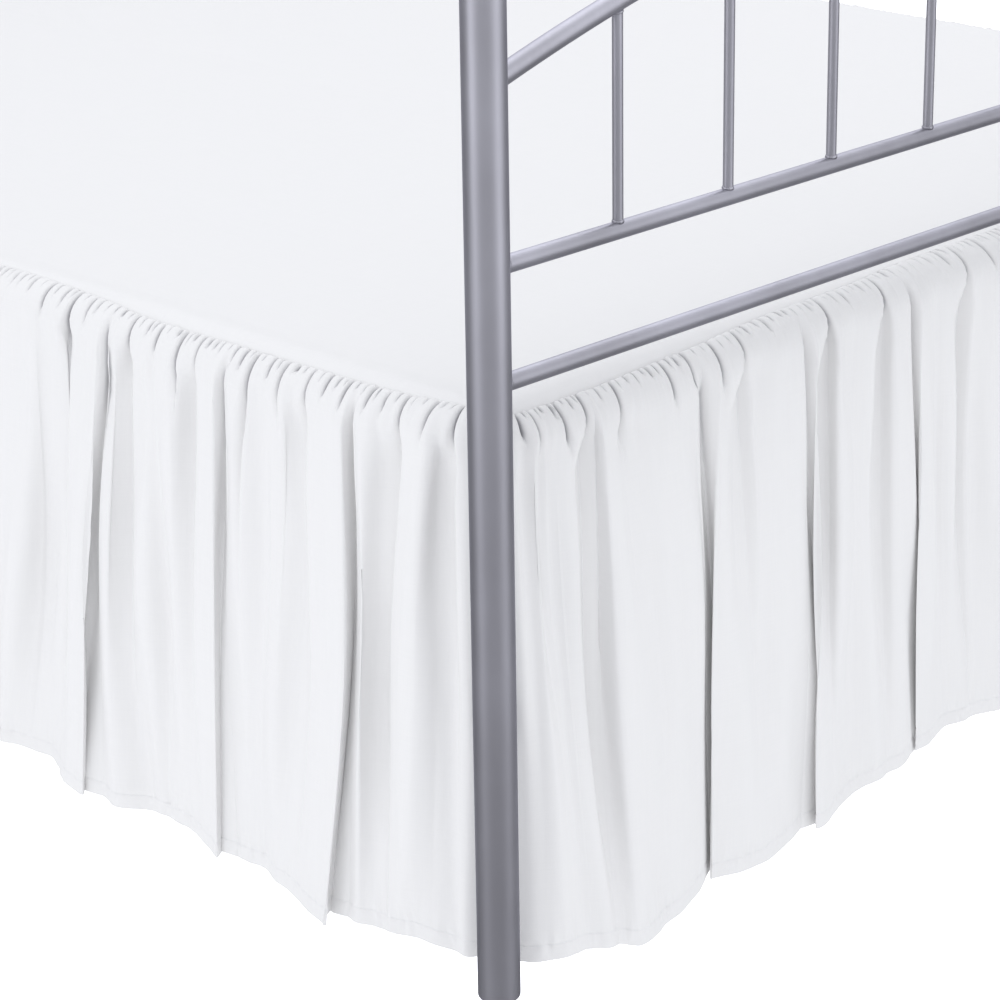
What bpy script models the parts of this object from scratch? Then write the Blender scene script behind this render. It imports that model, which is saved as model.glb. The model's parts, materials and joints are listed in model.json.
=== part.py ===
"""A gathered bed skirt on a metal bed: deck, three ruffles, box spring and frame.

Metres, +Z up, the head of the bed at +Y. The origin is on the floor under the
middle of the whole object. Tables of folds are in millimetres, as a sewing
pattern would give them, and are turned into metres where they are read.
"""
import math
import random
from collections import namedtuple

import bmesh
import bpy
from mathutils import Vector

MM = 0.001

# Bed sizes (queen).
BED_WIDTH = 1.524
BED_LENGTH = 2.032
BOX_HEIGHT = 0.250
BOX_TOP = 0.522
BOX_PLAN_RADIUS = 0.045
BOX_TOP_RADIUS = 0.020
BOX_BOTTOM_RADIUS = 0.010
TOUCH = 0.0003

# Deck sheet.
DECK_THICKNESS = 0.0013
EDGE_CLEARANCE = 0.002
DECK_BORDER = 0.022
DECK_HEAD_Y = 1.000
STATION_GAP = 0.0045
SEAM_GAP = 0.0008

# Ruffles.
RUFFLE_THICKNESS = 0.0012
POCKET_FLOOR_TOP = 2.4
POCKET_FLOOR = 4.0
RUFFLE_HEAD_Y = 0.985
HEM_HEIGHT = 16.0
TOP_LEVEL = 0.075
ROW_LEVELS = (0.0, 0.03, TOP_LEVEL, 0.28, 0.62, 1.0)
FAR_CORNER_SEED = 11
SIDE_SEEDS = {"left": 23, "right": 37}

# Frame of the bed.
POST_RADIUS = 0.01905
POST_X = 0.809
FOOT_POST_Y = -1.063
HEAD_POST_Y = 1.0841
RAIL_RADIUS = 0.008
ARCH_RADIUS = 0.009
SPINDLE_RADIUS = 0.00475
SPINDLE_COUNT = 10
SPINDLE_PITCH = 0.14435
ARCH_END_TURN = math.radians(17.74)

# One end of the bed: its post height and the heights of its three cross pieces.
BedEnd = namedtuple("BedEnd", "name y post_top low_rail mid_rail arch_end")
BED_ENDS = (
    BedEnd("foot", FOOT_POST_Y, 0.930, 0.5697, 0.6718, 0.8240),
    BedEnd("head", HEAD_POST_Y, 1.180, 0.6000, 0.8450, 1.0550),
)

SIDE_RAIL_X = 0.735
SIDE_RAIL_WIDTH = 0.025
SIDE_RAIL_HEIGHT = 0.040
SIDE_RAIL_END = 0.985
SLAT_YS = (-0.80, -0.40, 0.0, 0.40, 0.80)
SLAT_WIDTH = 0.060
SLAT_HEIGHT = 0.018
BRACKET_THICKNESS = 0.004
BRACKET_HEIGHT = 0.030

BOX_BOTTOM = BOX_TOP - BOX_HEIGHT
FRAME_TOP = BOX_BOTTOM - TOUCH
ARC_LENGTH = BOX_PLAN_RADIUS * math.pi / 4.0
SIDE_RUN = ARC_LENGTH + RUFFLE_HEAD_Y + BED_LENGTH / 2.0 - BOX_PLAN_RADIUS
FOOT_RUN = 2.0 * ARC_LENGTH + BED_WIDTH - 2.0 * BOX_PLAN_RADIUS

# How far a line of the cloth stands out just below the gathering, by its kind (mm).
OUT_TOP = {"end": 17.0, "crest": 23.0, "hollow": 12.0, "shoulder": 20.0, "pocket": 9.0, "lip": 26.0}

# One line that runs down the cloth. at_top, at_mid and at_hem are its places along the
# edge, measured from the split corner; out_mid and out_hem are how far it stands out
# from the side of the box; lift is the height of its hem over the floor (all mm).
Fold = namedtuple("Fold", "kind at_top at_mid at_hem out_mid out_hem lift", defaults=(HEM_HEIGHT,))

SIDE_FOLDS = (
    Fold("end", 6, 6, 6, 28, 36),
    Fold("crest", 14, 13, 14, 34, 44),
    Fold("hollow", 30, 28, 25, 20, 38),
    Fold("crest", 47, 55, 56, 42, 45),
    Fold("hollow", 104, 108, 96, 24, 52),
    Fold("crest", 126, 117, 114, 42, 59),
    Fold("shoulder", 137, 126, 128, 38, 55),
    Fold("pocket", 144, 141, 156, 12, 46, 14),
    Fold("lip", 151, 133, 138, 48, 75, 10),
    Fold("crest", 178, 162, 170, 48, 66, 12),
    Fold("hollow", 219, 203, 214, 36, 55, 15),
    Fold("crest", 232, 227, 236, 44, 50),
    Fold("hollow", 259, 251, 262, 36, 44),
    Fold("crest", 280, 275, 280, 45, 42),
    Fold("shoulder", 307, 299, 297, 40, 38),
    Fold("pocket", 315, 315, 324, 12, 22),
    Fold("lip", 322, 307, 310, 50, 54, 12),
    Fold("crest", 342, 330, 335, 48, 47, 14),
    Fold("hollow", 364, 352, 362, 42, 38),
    Fold("crest", 384, 374, 386, 46, 34),
    Fold("hollow", 412, 398, 410, 29, 26),
    Fold("crest", 427, 419, 426, 36, 32),
    Fold("hollow", 452, 452, 446, 29, 36),
    Fold("crest", 467, 468, 470, 46, 53),
    Fold("shoulder", 476, 484, 499, 41, 43),
    Fold("pocket", 482, 502, 546, 12, 22),
    Fold("lip", 488, 493, 522, 51, 52, 14),
    Fold("crest", 512, 512, 548, 48, 53),
    Fold("hollow", 534, 534, 570, 38, 41),
    Fold("crest", 551, 546, 590, 42, 30),
    Fold("hollow", 582, 584, 634, 24, 18),
    Fold("crest", 608, 610, 684, 40, 29),
)

FOOT_FOLDS = (
    Fold("end", 6, 6, 7, 38, 48),
    Fold("crest", 14, 13, 13, 46, 58),
    Fold("hollow", 22, 20, 20, 42, 62),
    Fold("crest", 31, 27, 27, 46, 66),
    Fold("hollow", 43, 38, 36, 36, 68),
    Fold("crest", 78, 62, 54, 50, 77, 14),
    Fold("hollow", 106, 86, 71, 39, 75, 12),
    Fold("lip", 110, 86, 87, 62, 86, 8),
    Fold("crest", 130, 106, 108, 65, 85, 8),
    Fold("hollow", 154, 145, 138, 54, 80, 10),
    Fold("crest", 176, 168, 162, 59, 74, 12),
    Fold("crest", 218, 206, 208, 53, 57, 14),
    Fold("shoulder", 238, 223, 231, 42, 42),
    Fold("pocket", 252, 247, 264, 12, 16),
    Fold("lip", 266, 231, 221, 56, 59, 14),
    Fold("crest", 294, 259, 252, 58, 69, 14),
    Fold("hollow", 325, 302, 290, 50, 68),
    Fold("crest", 352, 328, 320, 54, 66),
    Fold("shoulder", 385, 373, 358, 44, 54),
    Fold("pocket", 396, 392, 394, 12, 36),
    Fold("lip", 406, 380, 376, 53, 63),
    Fold("hollow", 432, 404, 400, 44, 57),
    Fold("crest", 446, 418, 416, 50, 53),
    Fold("hollow", 468, 448, 456, 38, 40),
    Fold("crest", 495, 477, 486, 44, 41),
    Fold("hollow", 519, 504, 512, 32, 38),
    Fold("crest", 532, 523, 536, 38, 39),
    Fold("shoulder", 549, 551, 572, 33, 23),
    Fold("pocket", 558, 570, 603, 10, 6),
    Fold("lip", 567, 563, 578, 37, 31, 18),
    Fold("crest", 580, 578, 598, 37, 27),
    Fold("hollow", 600, 600, 640, 24, 12),
    Fold("crest", 624, 624, 662, 32, 15),
    Fold("hollow", 667, 666, 690, 18, 17),
    Fold("crest", 692, 695, 722, 32, 28),
)
# The far corners and the right side open with the same first folds as these two tables.
SIDE_SHARED = 11
FOOT_SHARED = 11

# How far round the edge of the box the seam lies, in degrees, by its place in mm
# from the split corner: 0 is on top, 90 on the side.
SeamTurn = namedtuple("SeamTurn", "at degrees")
SIDE_SEAM = (
    SeamTurn(0, 40), SeamTurn(30, 34), SeamTurn(50, 37), SeamTurn(100, 47), SeamTurn(200, 51),
    SeamTurn(320, 52), SeamTurn(450, 51), SeamTurn(490, 41), SeamTurn(570, 31), SeamTurn(650, 28),
    SeamTurn(1000, 36), SeamTurn(1500, 48), SeamTurn(2000, 40),
)
FOOT_SEAM = (
    SeamTurn(0, 46), SeamTurn(25, 55), SeamTurn(140, 56), SeamTurn(205, 49), SeamTurn(265, 44),
    SeamTurn(340, 31), SeamTurn(410, 25), SeamTurn(500, 22), SeamTurn(560, 10), SeamTurn(660, 4),
    SeamTurn(760, 2), SeamTurn(950, 12), SeamTurn(1150, 30), SeamTurn(1350, 46), SeamTurn(1505, 42),
)

COLOURS = {
    "skirt_cloth": ((0.90, 0.905, 0.93), 0.85, 0.0),
    "deck_cloth": ((0.88, 0.885, 0.91), 0.85, 0.0),
    "ticking": ((0.80, 0.79, 0.76), 0.90, 0.0),
    "silver_steel": ((0.52, 0.53, 0.56), 0.34, 1.0),
    "slat_wood": ((0.62, 0.47, 0.30), 0.60, 0.0),
}


# Small helpers ------------------------------------------------------------------------

def clear_scene():
    for obj in list(bpy.data.objects):
        bpy.data.objects.remove(obj, do_unlink=True)


def make_materials():
    """One Principled material for each entry of COLOURS."""
    made = {}
    for name, (colour, roughness, metallic) in COLOURS.items():
        material = bpy.data.materials.new(name)
        material.use_nodes = True
        shader = material.node_tree.nodes["Principled BSDF"]
        shader.inputs["Base Color"].default_value = (*colour, 1.0)
        shader.inputs["Roughness"].default_value = roughness
        shader.inputs["Metallic"].default_value = metallic
        material.diffuse_color = (*colour, 1.0)
        made[name] = material
    return made


def add_object(name, vertices, faces, material, smooth=True):
    """A closed solid from its points and faces, triangulated, its faces pointing out."""
    mesh = bpy.data.meshes.new(name)
    mesh.from_pydata([tuple(v) for v in vertices], [], faces)
    solid = bmesh.new()
    solid.from_mesh(mesh)
    bmesh.ops.recalc_face_normals(solid, faces=solid.faces)
    bmesh.ops.triangulate(solid, faces=solid.faces)
    solid.to_mesh(mesh)
    solid.free()
    if smooth:
        mesh.shade_smooth()
        mesh.set_sharp_from_angle(angle=math.radians(40.0))
    mesh.materials.append(material)
    obj = bpy.data.objects.new(name, mesh)
    bpy.context.scene.collection.objects.link(obj)
    return obj


def saddle_cap(first, count):
    """Faces across a shaped tube end, joining the points that lie level with each other."""
    faces = []
    for i in range(count // 2):
        corners = (i, i + 1, (count - i - 1) % count, (count - i) % count)
        unique = list(dict.fromkeys(corners))
        faces.append(tuple(first + corner for corner in unique))
    return faces


def skin_rings(rings, shaped_ends=False):
    """Points and faces of a closed tube whose rings hold the same number of points."""
    count = len(rings[0])
    vertices = [point for ring in rings for point in ring]
    faces = []
    for level in range(len(rings) - 1):
        low, high = level * count, (level + 1) * count
        for i in range(count):
            j = (i + 1) % count
            faces.append((low + i, low + j, high + j, high + i))
    for first in (0, (len(rings) - 1) * count):
        faces += saddle_cap(first, count) if shaped_ends else [tuple(range(first, first + count))]
    return vertices, faces


def lerp(a, b, t):
    return a + (b - a) * t


def smoothstep(t):
    t = min(1.0, max(0.0, t))
    return t * t * (3.0 - 2.0 * t)


def hermite(a, b, slope_a, slope_b, t):
    """A cubic from a to b whose slopes are given per whole step."""
    t2, t3 = t * t, t * t * t
    start = (2 * t3 - 3 * t2 + 1) * a + (t3 - 2 * t2 + t) * slope_a
    return start + (-2 * t3 + 3 * t2) * b + (t3 - t2) * slope_b


# The edge of the bed --------------------------------------------------------------------

def edge_place(run, out, length, has_far_corner):
    """Local (along, outward) of a place on a panel's run round the rounded plan corner."""
    radius = BOX_PLAN_RADIUS
    mirrored = has_far_corner and run > length / 2.0
    if mirrored:
        run = length - run
    if run < ARC_LENGTH:
        turn = math.pi / 4.0 - run / radius
        along = radius - (radius + out) * math.sin(turn)
        outward = -radius + (radius + out) * math.cos(turn)
    else:
        along = radius + run - ARC_LENGTH
        outward = out
    if mirrored:
        along = BED_WIDTH - along
    return along, outward


def to_world(panel, run, out, z):
    """World point of a place on the left, right or foot panel."""
    if panel == "foot":
        along, outward = edge_place(run, out, FOOT_RUN, True)
        return Vector((-BED_WIDTH / 2 + along, -BED_LENGTH / 2 - outward, z))
    along, outward = edge_place(run, out, SIDE_RUN, False)
    side = -1.0 if panel == "left" else 1.0
    return Vector((side * (BED_WIDTH / 2 + outward), -BED_LENGTH / 2 + along, z))


def seam_turn(panel, run):
    """Angle of the seam round the top edge of the box, straight between the table's rows."""
    table = FOOT_SEAM if panel == "foot" else SIDE_SEAM
    at = run / MM
    for before, after in zip(table, table[1:]):
        if at <= after.at:
            share = (at - before.at) / (after.at - before.at)
            return math.radians(lerp(before.degrees, after.degrees, share))
    return math.radians(table[-1].degrees)


def over_edge(turn, lift=0.0):
    """Out and z of the deck's middle surface where it has turned over the box's edge."""
    radius = BOX_TOP_RADIUS + EDGE_CLEARANCE + DECK_THICKNESS / 2.0 + lift
    out = -BOX_TOP_RADIUS + radius * math.sin(turn)
    return out, BOX_TOP - BOX_TOP_RADIUS + radius * math.cos(turn)


def seam_point(panel, run):
    """Out, z and turn of the ruffle's sewn edge."""
    gap_turn = SEAM_GAP / (BOX_TOP_RADIUS + EDGE_CLEARANCE)
    turn = seam_turn(panel, run) + gap_turn
    out, z = over_edge(turn)
    return out, z, turn


# The ruffles ----------------------------------------------------------------------------

def mirrored_folds(folds, length):
    """The same folds counted from the other end of a run."""
    span = length / MM
    return [f._replace(at_top=span - f.at_top, at_mid=span - f.at_mid, at_hem=span - f.at_hem)
            for f in reversed(folds)]


def carried_on(folds, stop, seed):
    """More pleats of the same kind after the given ones, up to about stop (mm)."""
    rng = random.Random(seed)
    lines = list(folds)
    start = lines[-1].at_top
    while stop - start > 110.0:
        width = rng.uniform(150.0, 205.0)
        if stop - start - width < 60.0:
            width = stop - start - 20.0
        lean = rng.uniform(-8.0, 8.0)
        spread = rng.uniform(4.0, 16.0)
        lip_mid, lip_hem = rng.uniform(45, 53), rng.uniform(46, 64)
        floor_hem = rng.uniform(12, 26)
        share = rng.uniform(0.30, 0.38)
        middle = start + width * (share + 0.25)
        lines += [
            Fold("hollow", start + width * share, start + width * share + lean,
                 start + width * share + 2 * lean, rng.uniform(24, 34), rng.uniform(24, 38)),
            Fold("crest", middle, middle + lean, middle + lean, rng.uniform(38, 46),
                 rng.uniform(34, 50)),
            Fold("shoulder", start + width - 9, start + width - 9, start + width - 4,
                 rng.uniform(38, 43), rng.uniform(36, 46)),
            Fold("pocket", start + width, start + width + 9, start + width + 12 + spread, 12,
                 floor_hem),
            Fold("lip", start + width + 9, start + width, start + width + 3, lip_mid, lip_hem,
                 HEM_HEIGHT - 3.0),
            Fold("crest", start + width + 34, start + width + 28, start + width + 34,
                 lip_mid - 2.0, lip_hem - 5.0),
        ]
        start = lines[-1].at_top
    return lines


def opened_pockets(folds):
    """The same lines with two for each pocket, so that its floor has some width."""
    lines = []
    top, below = POCKET_FLOOR_TOP / 2.0, POCKET_FLOOR / 2.0
    for f in folds:
        if f.kind != "pocket":
            lines.append(f)
            continue
        for side in (-1.0, 1.0):
            lines.append(f._replace(at_top=f.at_top + side * top, at_mid=f.at_mid + side * below,
                                    at_hem=f.at_hem + side * below))
    return lines


def panel_folds(panel):
    """Every fold line of one panel in the order of the cloth."""
    if panel == "foot":
        half = FOOT_RUN / MM / 2.0
        far = carried_on(FOOT_FOLDS[:FOOT_SHARED], half - 20.0, FAR_CORNER_SEED)
        while far[-1].at_top > half:
            far.pop()
        return opened_pockets(list(FOOT_FOLDS) + mirrored_folds(far, FOOT_RUN))
    length = SIDE_RUN / MM
    folds = SIDE_FOLDS if panel == "left" else SIDE_FOLDS[:SIDE_SHARED]
    lines = carried_on(folds, length - 30.0, SIDE_SEEDS[panel])
    while lines[-1].at_top > length - 18.0:
        lines.pop()
    last = Fold("end", length, length, length, 30, 34)
    return opened_pockets(lines + [last])


def level_places(fold, level):
    """Run, out and hem lift of a fold line at a level, 0 at the seam and 1 at the hem."""
    top_out = OUT_TOP[fold.kind]
    places = ((fold.at_top, fold.at_mid, fold.at_hem), (top_out, fold.out_mid, fold.out_hem))
    values = []
    for top, mid, hem in places:
        if level <= TOP_LEVEL:
            values.append(top)
            continue
        mid_slope = (hem - top) / (1.0 - TOP_LEVEL)
        if level < 0.5:
            step = 0.5 - TOP_LEVEL
            values.append(hermite(top, mid, mid - top, mid_slope * step, (level - TOP_LEVEL) / step))
        else:
            values.append(hermite(mid, hem, mid_slope * 0.5, hem - mid, (level - 0.5) / 0.5))
    return values[0] * MM, values[1] * MM, fold.lift * MM


def fold_knots(folds):
    """Spacing of the fold lines along the cloth, from their places half-way down."""
    knots = [0.0]
    for a, b in zip(folds, folds[1:]):
        mid = math.hypot(b.at_mid - a.at_mid, b.out_mid - a.out_mid)
        hem = math.hypot(b.at_hem - a.at_hem, b.out_hem - a.out_hem)
        knots.append(knots[-1] + math.sqrt(max(4.0, (mid + hem) / 2.0)))
    return knots


def spline(values, knots, index, t):
    """A smooth curve through values, read a share t of the way from index to the next."""
    last = len(values) - 1
    before, after = max(index - 1, 0), min(index + 2, last)
    step = knots[index + 1] - knots[index]
    slope_a = (values[index + 1] - values[before]) / (knots[index + 1] - knots[before])
    slope_b = (values[after] - values[index]) / (knots[after] - knots[index])
    return hermite(values[index], values[index + 1], slope_a * step, slope_b * step, t)


def ruffle_grid(panel):
    """Middle surface of a ruffle, a row of points for each level from seam to hem."""
    folds = panel_folds(panel)
    knots = fold_knots(folds)
    columns = []
    for index in range(len(folds) - 1):
        steps = 1 if knots[index + 1] - knots[index] < 3.4 else 2
        columns += [(index, step / steps) for step in range(steps)]
    columns.append((len(folds) - 2, 1.0))
    grid = []
    for level in ROW_LEVELS:
        runs, outs, lifts = zip(*(level_places(fold, level) for fold in folds))
        row = []
        for index, t in columns:
            run = spline(runs, knots, index, t)
            out = spline(outs, knots, index, t)
            lift = lerp(lifts[index], lifts[index + 1], t)
            seam_out, seam_z, turn = seam_point(panel, run)
            fall = level
            if level < TOP_LEVEL:
                share = level / TOP_LEVEL
                out = lerp(seam_out, out, math.sin(math.pi / 2.0 * share))
                fall = TOP_LEVEL * share ** (1.0 + math.cos(turn))
            row.append(to_world(panel, run, out, lerp(seam_z, lift, fall)))
        grid.append(row)
    return grid


def sewn_edge_normals(panel, grid):
    """Direction across the cloth at the seam, which follows the deck's own turned edge."""
    normals = []
    step = 0.0005
    for point in grid[0]:
        run = nearest_run(panel, point)
        _, _, turn = seam_point(panel, run)
        outward = to_world(panel, run, step, 0.0) - to_world(panel, run, 0.0, 0.0)
        outward.normalize()
        normals.append(outward * math.sin(turn) + Vector((0.0, 0.0, math.cos(turn))))
    return normals


def nearest_run(panel, point):
    """Place along a panel's run of a point close to the edge of the bed."""
    if panel == "foot":
        along, outward = point.x + BED_WIDTH / 2, -BED_LENGTH / 2 - point.y
    else:
        along, outward = point.y + BED_LENGTH / 2, abs(point.x) - BED_WIDTH / 2
    mirrored = panel == "foot" and along > BED_WIDTH / 2
    if mirrored:
        along = BED_WIDTH - along
    if along < BOX_PLAN_RADIUS:
        turn = math.atan2(BOX_PLAN_RADIUS - along, BOX_PLAN_RADIUS + outward)
        run = (math.pi / 4.0 - turn) * BOX_PLAN_RADIUS
    else:
        run = along - BOX_PLAN_RADIUS + ARC_LENGTH
    return FOOT_RUN - run if mirrored else run


def heading(before, here, after):
    """Direction of a bent line at a point, half-way between its two stretches there."""
    return (here - before).normalized() + (after - here).normalized()


def sheet_solid(grid, thickness, first_normals):
    """Points and faces of a sheet of even thickness about a grid of middle points.

    Each four-sided cell is cut along its shorter diagonal, the same one on both faces
    of the cloth, so that the two never cross where the cloth twists.
    """
    rows, columns = len(grid), len(grid[0])
    front, back = [], []
    for r in range(rows):
        for c in range(columns):
            across = heading(grid[r][max(c - 1, 0)], grid[r][c], grid[r][min(c + 1, columns - 1)])
            down = heading(grid[max(r - 1, 0)][c], grid[r][c], grid[min(r + 1, rows - 1)][c])
            normal = down.cross(across).normalized()
            if r == 0:
                facing = first_normals[c]
                normal = facing if normal.dot(facing) > 0 else -facing
            front.append(grid[r][c] + normal * thickness / 2.0)
            back.append(grid[r][c] - normal * thickness / 2.0)
    offset = rows * columns
    faces = []
    for r in range(rows - 1):
        for c in range(columns - 1):
            a, b = r * columns + c, r * columns + c + 1
            d, e = a + columns, b + columns
            falling = (grid[r][c] - grid[r + 1][c + 1]).length
            rising = (grid[r][c + 1] - grid[r + 1][c]).length
            pair = ((a, b, e), (a, e, d)) if falling < rising else ((a, b, d), (b, e, d))
            for corners in pair:
                faces.append(corners)
                faces.append(tuple(offset + corner for corner in reversed(corners)))
    rim = [c for c in range(columns)]
    rim += [r * columns + columns - 1 for r in range(1, rows)]
    rim += [(rows - 1) * columns + c for c in range(columns - 2, -1, -1)]
    rim += [r * columns for r in range(rows - 2, 0, -1)]
    for a, b in zip(rim, rim[1:] + rim[:1]):
        faces.append((a, offset + a, offset + b, b))
    return front + back, faces


def build_ruffle(panel, material):
    grid = ruffle_grid(panel)
    vertices, faces = sheet_solid(grid, RUFFLE_THICKNESS, sewn_edge_normals(panel, grid))
    return add_object("ruffle_" + panel, vertices, faces, material)


# The deck -------------------------------------------------------------------------------

def station_runs(panel, length):
    """Places along a panel's run where the deck has a section: its corner and its seam's turns."""
    table = FOOT_SEAM if panel == "foot" else SIDE_SEAM
    runs = [ARC_LENGTH * i / 5.0 for i in range(6)]
    if panel == "foot":
        runs += [length - run for run in runs]
    for before, after in zip(table, table[1:]):
        runs += [before.at * MM, (before.at + after.at) / 2.0 * MM]
    kept = []
    for run in sorted(run for run in runs if run < length - STATION_GAP) + [length]:
        if not kept or run - kept[-1] > STATION_GAP:
            kept.append(run)
    return kept


def deck_stations():
    """Panel and run of each station round the three sewn sides, from head to head."""
    side = station_runs("left", SIDE_RUN + DECK_HEAD_Y - RUFFLE_HEAD_Y)
    stations = [("left", run) for run in reversed(side)]
    stations += [("foot", run) for run in station_runs("foot", FOOT_RUN)[1:-1]]
    stations += [("right", run) for run in side]
    return stations


def deck_section(panel, run, offset):
    """World points from the flat of the deck out to its seam, offset from its middle."""
    rise = EDGE_CLEARANCE - TOUCH
    flat = BOX_TOP + TOUCH + DECK_THICKNESS / 2.0
    section = []
    for share in (0.0, 0.4, 0.75):
        out = -BOX_TOP_RADIUS - DECK_BORDER * (1.0 - share)
        section.append((out, flat + rise * smoothstep(share) + offset))
    turn = seam_turn(panel, run)
    for share in (0.0, 0.5, 1.0):
        section.append(over_edge(turn * share, offset))
    return [to_world(panel, run, out, z) for out, z in section]


def build_deck(material):
    """A thin sheet: a flat middle ringed by strips that turn over the box's edge."""
    stations = deck_stations()
    half = DECK_THICKNESS / 2.0
    vertices, faces = [], []
    levels = len(deck_section("foot", FOOT_RUN / 2.0, 0.0))
    count = len(stations)
    for offset in (half, -half):
        for panel, run in stations:
            vertices += deck_section(panel, run, offset)
    under = count * levels
    for s in range(count - 1):
        for k in range(levels - 1):
            a, b = s * levels + k, (s + 1) * levels + k
            faces.append((a, b, b + 1, a + 1))
            faces.append((under + a + 1, under + b + 1, under + b, under + a))
        edge_a, edge_b = s * levels + levels - 1, (s + 1) * levels + levels - 1
        faces.append((edge_a, edge_b, under + edge_b, under + edge_a))
    inner = [s * levels for s in range(count)]
    faces.append(tuple(inner))
    faces.append(tuple(under + i for i in reversed(inner)))
    first, last = 0, (count - 1) * levels
    for start in (first, last):
        for k in range(levels - 1):
            a = start + k
            faces.append((a, a + 1, under + a + 1, under + a))
    faces.append((first, last, under + last, under + first))
    return add_object("deck", vertices, faces, material)


# The box spring ---------------------------------------------------------------------------

def plan_ring(inset, z, corner_steps=7):
    """A rounded rectangle of the bed's plan, drawn in by inset."""
    half_x, half_y = BED_WIDTH / 2 - inset, BED_LENGTH / 2 - inset
    radius = BOX_PLAN_RADIUS - inset
    ring = []
    for quarter, (sx, sy) in enumerate(((1, 1), (-1, 1), (-1, -1), (1, -1))):
        for i in range(corner_steps + 1):
            angle = math.pi / 2.0 * (quarter + i / corner_steps)
            x = sx * (half_x - radius) + radius * math.cos(angle)
            y = sy * (half_y - radius) + radius * math.sin(angle)
            ring.append(Vector((x, y, z)))
    return ring


def build_box_spring(material):
    rings = []
    for i in range(4):
        turn = math.pi / 2.0 * i / 3.0
        inset = BOX_BOTTOM_RADIUS * (1.0 - math.sin(turn))
        rings.append(plan_ring(inset, BOX_BOTTOM + BOX_BOTTOM_RADIUS * (1.0 - math.cos(turn))))
    for i in range(6):
        turn = math.pi / 2.0 * i / 5.0
        inset = BOX_TOP_RADIUS * (1.0 - math.cos(turn))
        rings.append(plan_ring(inset, BOX_TOP - BOX_TOP_RADIUS * (1.0 - math.sin(turn))))
    vertices, faces = skin_rings(rings)
    return add_object("box_spring", vertices, faces, material)


# The metal frame --------------------------------------------------------------------------

def circle_offsets(radius, sides):
    return [(radius * math.cos(2 * math.pi * i / sides), radius * math.sin(2 * math.pi * i / sides))
            for i in range(sides)]


def build_post(name, x, y, top, material):
    """A straight tube with a softly domed top and a small chamfer at the floor."""
    profile = [(POST_RADIUS - 0.0015, 0.0), (POST_RADIUS, 0.0015), (POST_RADIUS, top - 0.012)]
    for i in range(1, 4):
        turn = math.pi / 2.0 * i / 4.0
        profile.append((POST_RADIUS * math.cos(turn), top - 0.012 * (1.0 - math.sin(turn))))
    rings = []
    for radius, z in profile:
        rings.append([Vector((x + dx, y + dy, z)) for dx, dy in circle_offsets(radius, 20)])
    vertices, faces = skin_rings(rings)
    return add_object(name, vertices, faces, material)


def coped(distance, radius):
    """How far a tube's end stands off the axis of the round piece that it meets."""
    reach = radius + TOUCH
    return math.sqrt(max(0.0, reach * reach - distance * distance))


def build_cross_rail(name, y, z, material):
    """A round rail between two posts, its ends shaped to the posts."""
    rings = []
    for side in (-1.0, 1.0):
        ring = []
        for dy, dz in circle_offsets(RAIL_RADIUS, 12):
            ring.append(Vector((side * (POST_X - coped(dy, POST_RADIUS)), y + dy, z + dz)))
        rings.append(ring)
    vertices, faces = skin_rings(rings, shaped_ends=True)
    return add_object(name, vertices, faces, material)


def arch_point(end, x):
    """Height and slope of the arch's middle line."""
    radius = POST_X / math.sin(ARCH_END_TURN)
    height = end.arch_end - radius * math.cos(ARCH_END_TURN) + math.sqrt(radius * radius - x * x)
    slope = -x / math.sqrt(radius * radius - x * x)
    return height, slope


def build_arch(end, material):
    """A round bar in one shallow arc from post to post."""
    rings = []
    steps = 22
    for i in range(steps + 1):
        share = -1.0 + 2.0 * i / steps
        ring = []
        for dy, dn in circle_offsets(ARCH_RADIUS, 10):
            x = share * (POST_X - coped(dy, POST_RADIUS))
            z, slope = arch_point(end, x)
            lean = math.atan(slope)
            if abs(share) < 1.0:
                ring.append(Vector((x - dn * math.sin(lean), end.y + dy, z + dn * math.cos(lean))))
            else:
                ring.append(Vector((x, end.y + dy, z + dn / math.cos(lean))))
        rings.append(ring)
    vertices, faces = skin_rings(rings, shaped_ends=True)
    return add_object(end.name + "_arch", vertices, faces, material)


def build_spindle(end, index, material):
    """An upright bar from the middle rail to the arch, shaped to both at its ends."""
    x = (index - (SPINDLE_COUNT - 1) / 2.0) * SPINDLE_PITCH
    low, high = [], []
    for dy, dx in circle_offsets(SPINDLE_RADIUS, 8):
        arch_z, slope = arch_point(end, x + dx)
        low.append(Vector((x + dx, end.y + dy, end.mid_rail + coped(dy, RAIL_RADIUS))))
        under = coped(dy, ARCH_RADIUS) / math.cos(math.atan(slope))
        high.append(Vector((x + dx, end.y + dy, arch_z - under)))
    vertices, faces = skin_rings([low, high], shaped_ends=True)
    return add_object("%s_spindle_%02d" % (end.name, index + 1), vertices, faces, material)


def build_bar(name, low, high, material):
    """A plain rectangular bar between two corners."""
    plan = ((low[0], low[1]), (high[0], low[1]), (high[0], high[1]), (low[0], high[1]))
    rings = [[Vector((x, y, z)) for x, y in plan] for z in (low[2], high[2])]
    vertices, faces = skin_rings(rings)
    return add_object(name, vertices, faces, material, smooth=False)


def build_side_rail(name, side, material):
    low_x = side * SIDE_RAIL_X - SIDE_RAIL_WIDTH / 2
    low = (low_x, -SIDE_RAIL_END, FRAME_TOP - SIDE_RAIL_HEIGHT)
    high = (low_x + SIDE_RAIL_WIDTH, SIDE_RAIL_END, FRAME_TOP)
    return build_bar(name, low, high, material)


def build_slat(index, y, material):
    reach = SIDE_RAIL_X - SIDE_RAIL_WIDTH / 2 - TOUCH
    low = (-reach, y - SLAT_WIDTH / 2, FRAME_TOP - SLAT_HEIGHT)
    high = (reach, y + SLAT_WIDTH / 2, FRAME_TOP)
    return build_bar("slat_%d" % (index + 1), low, high, material)


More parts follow.
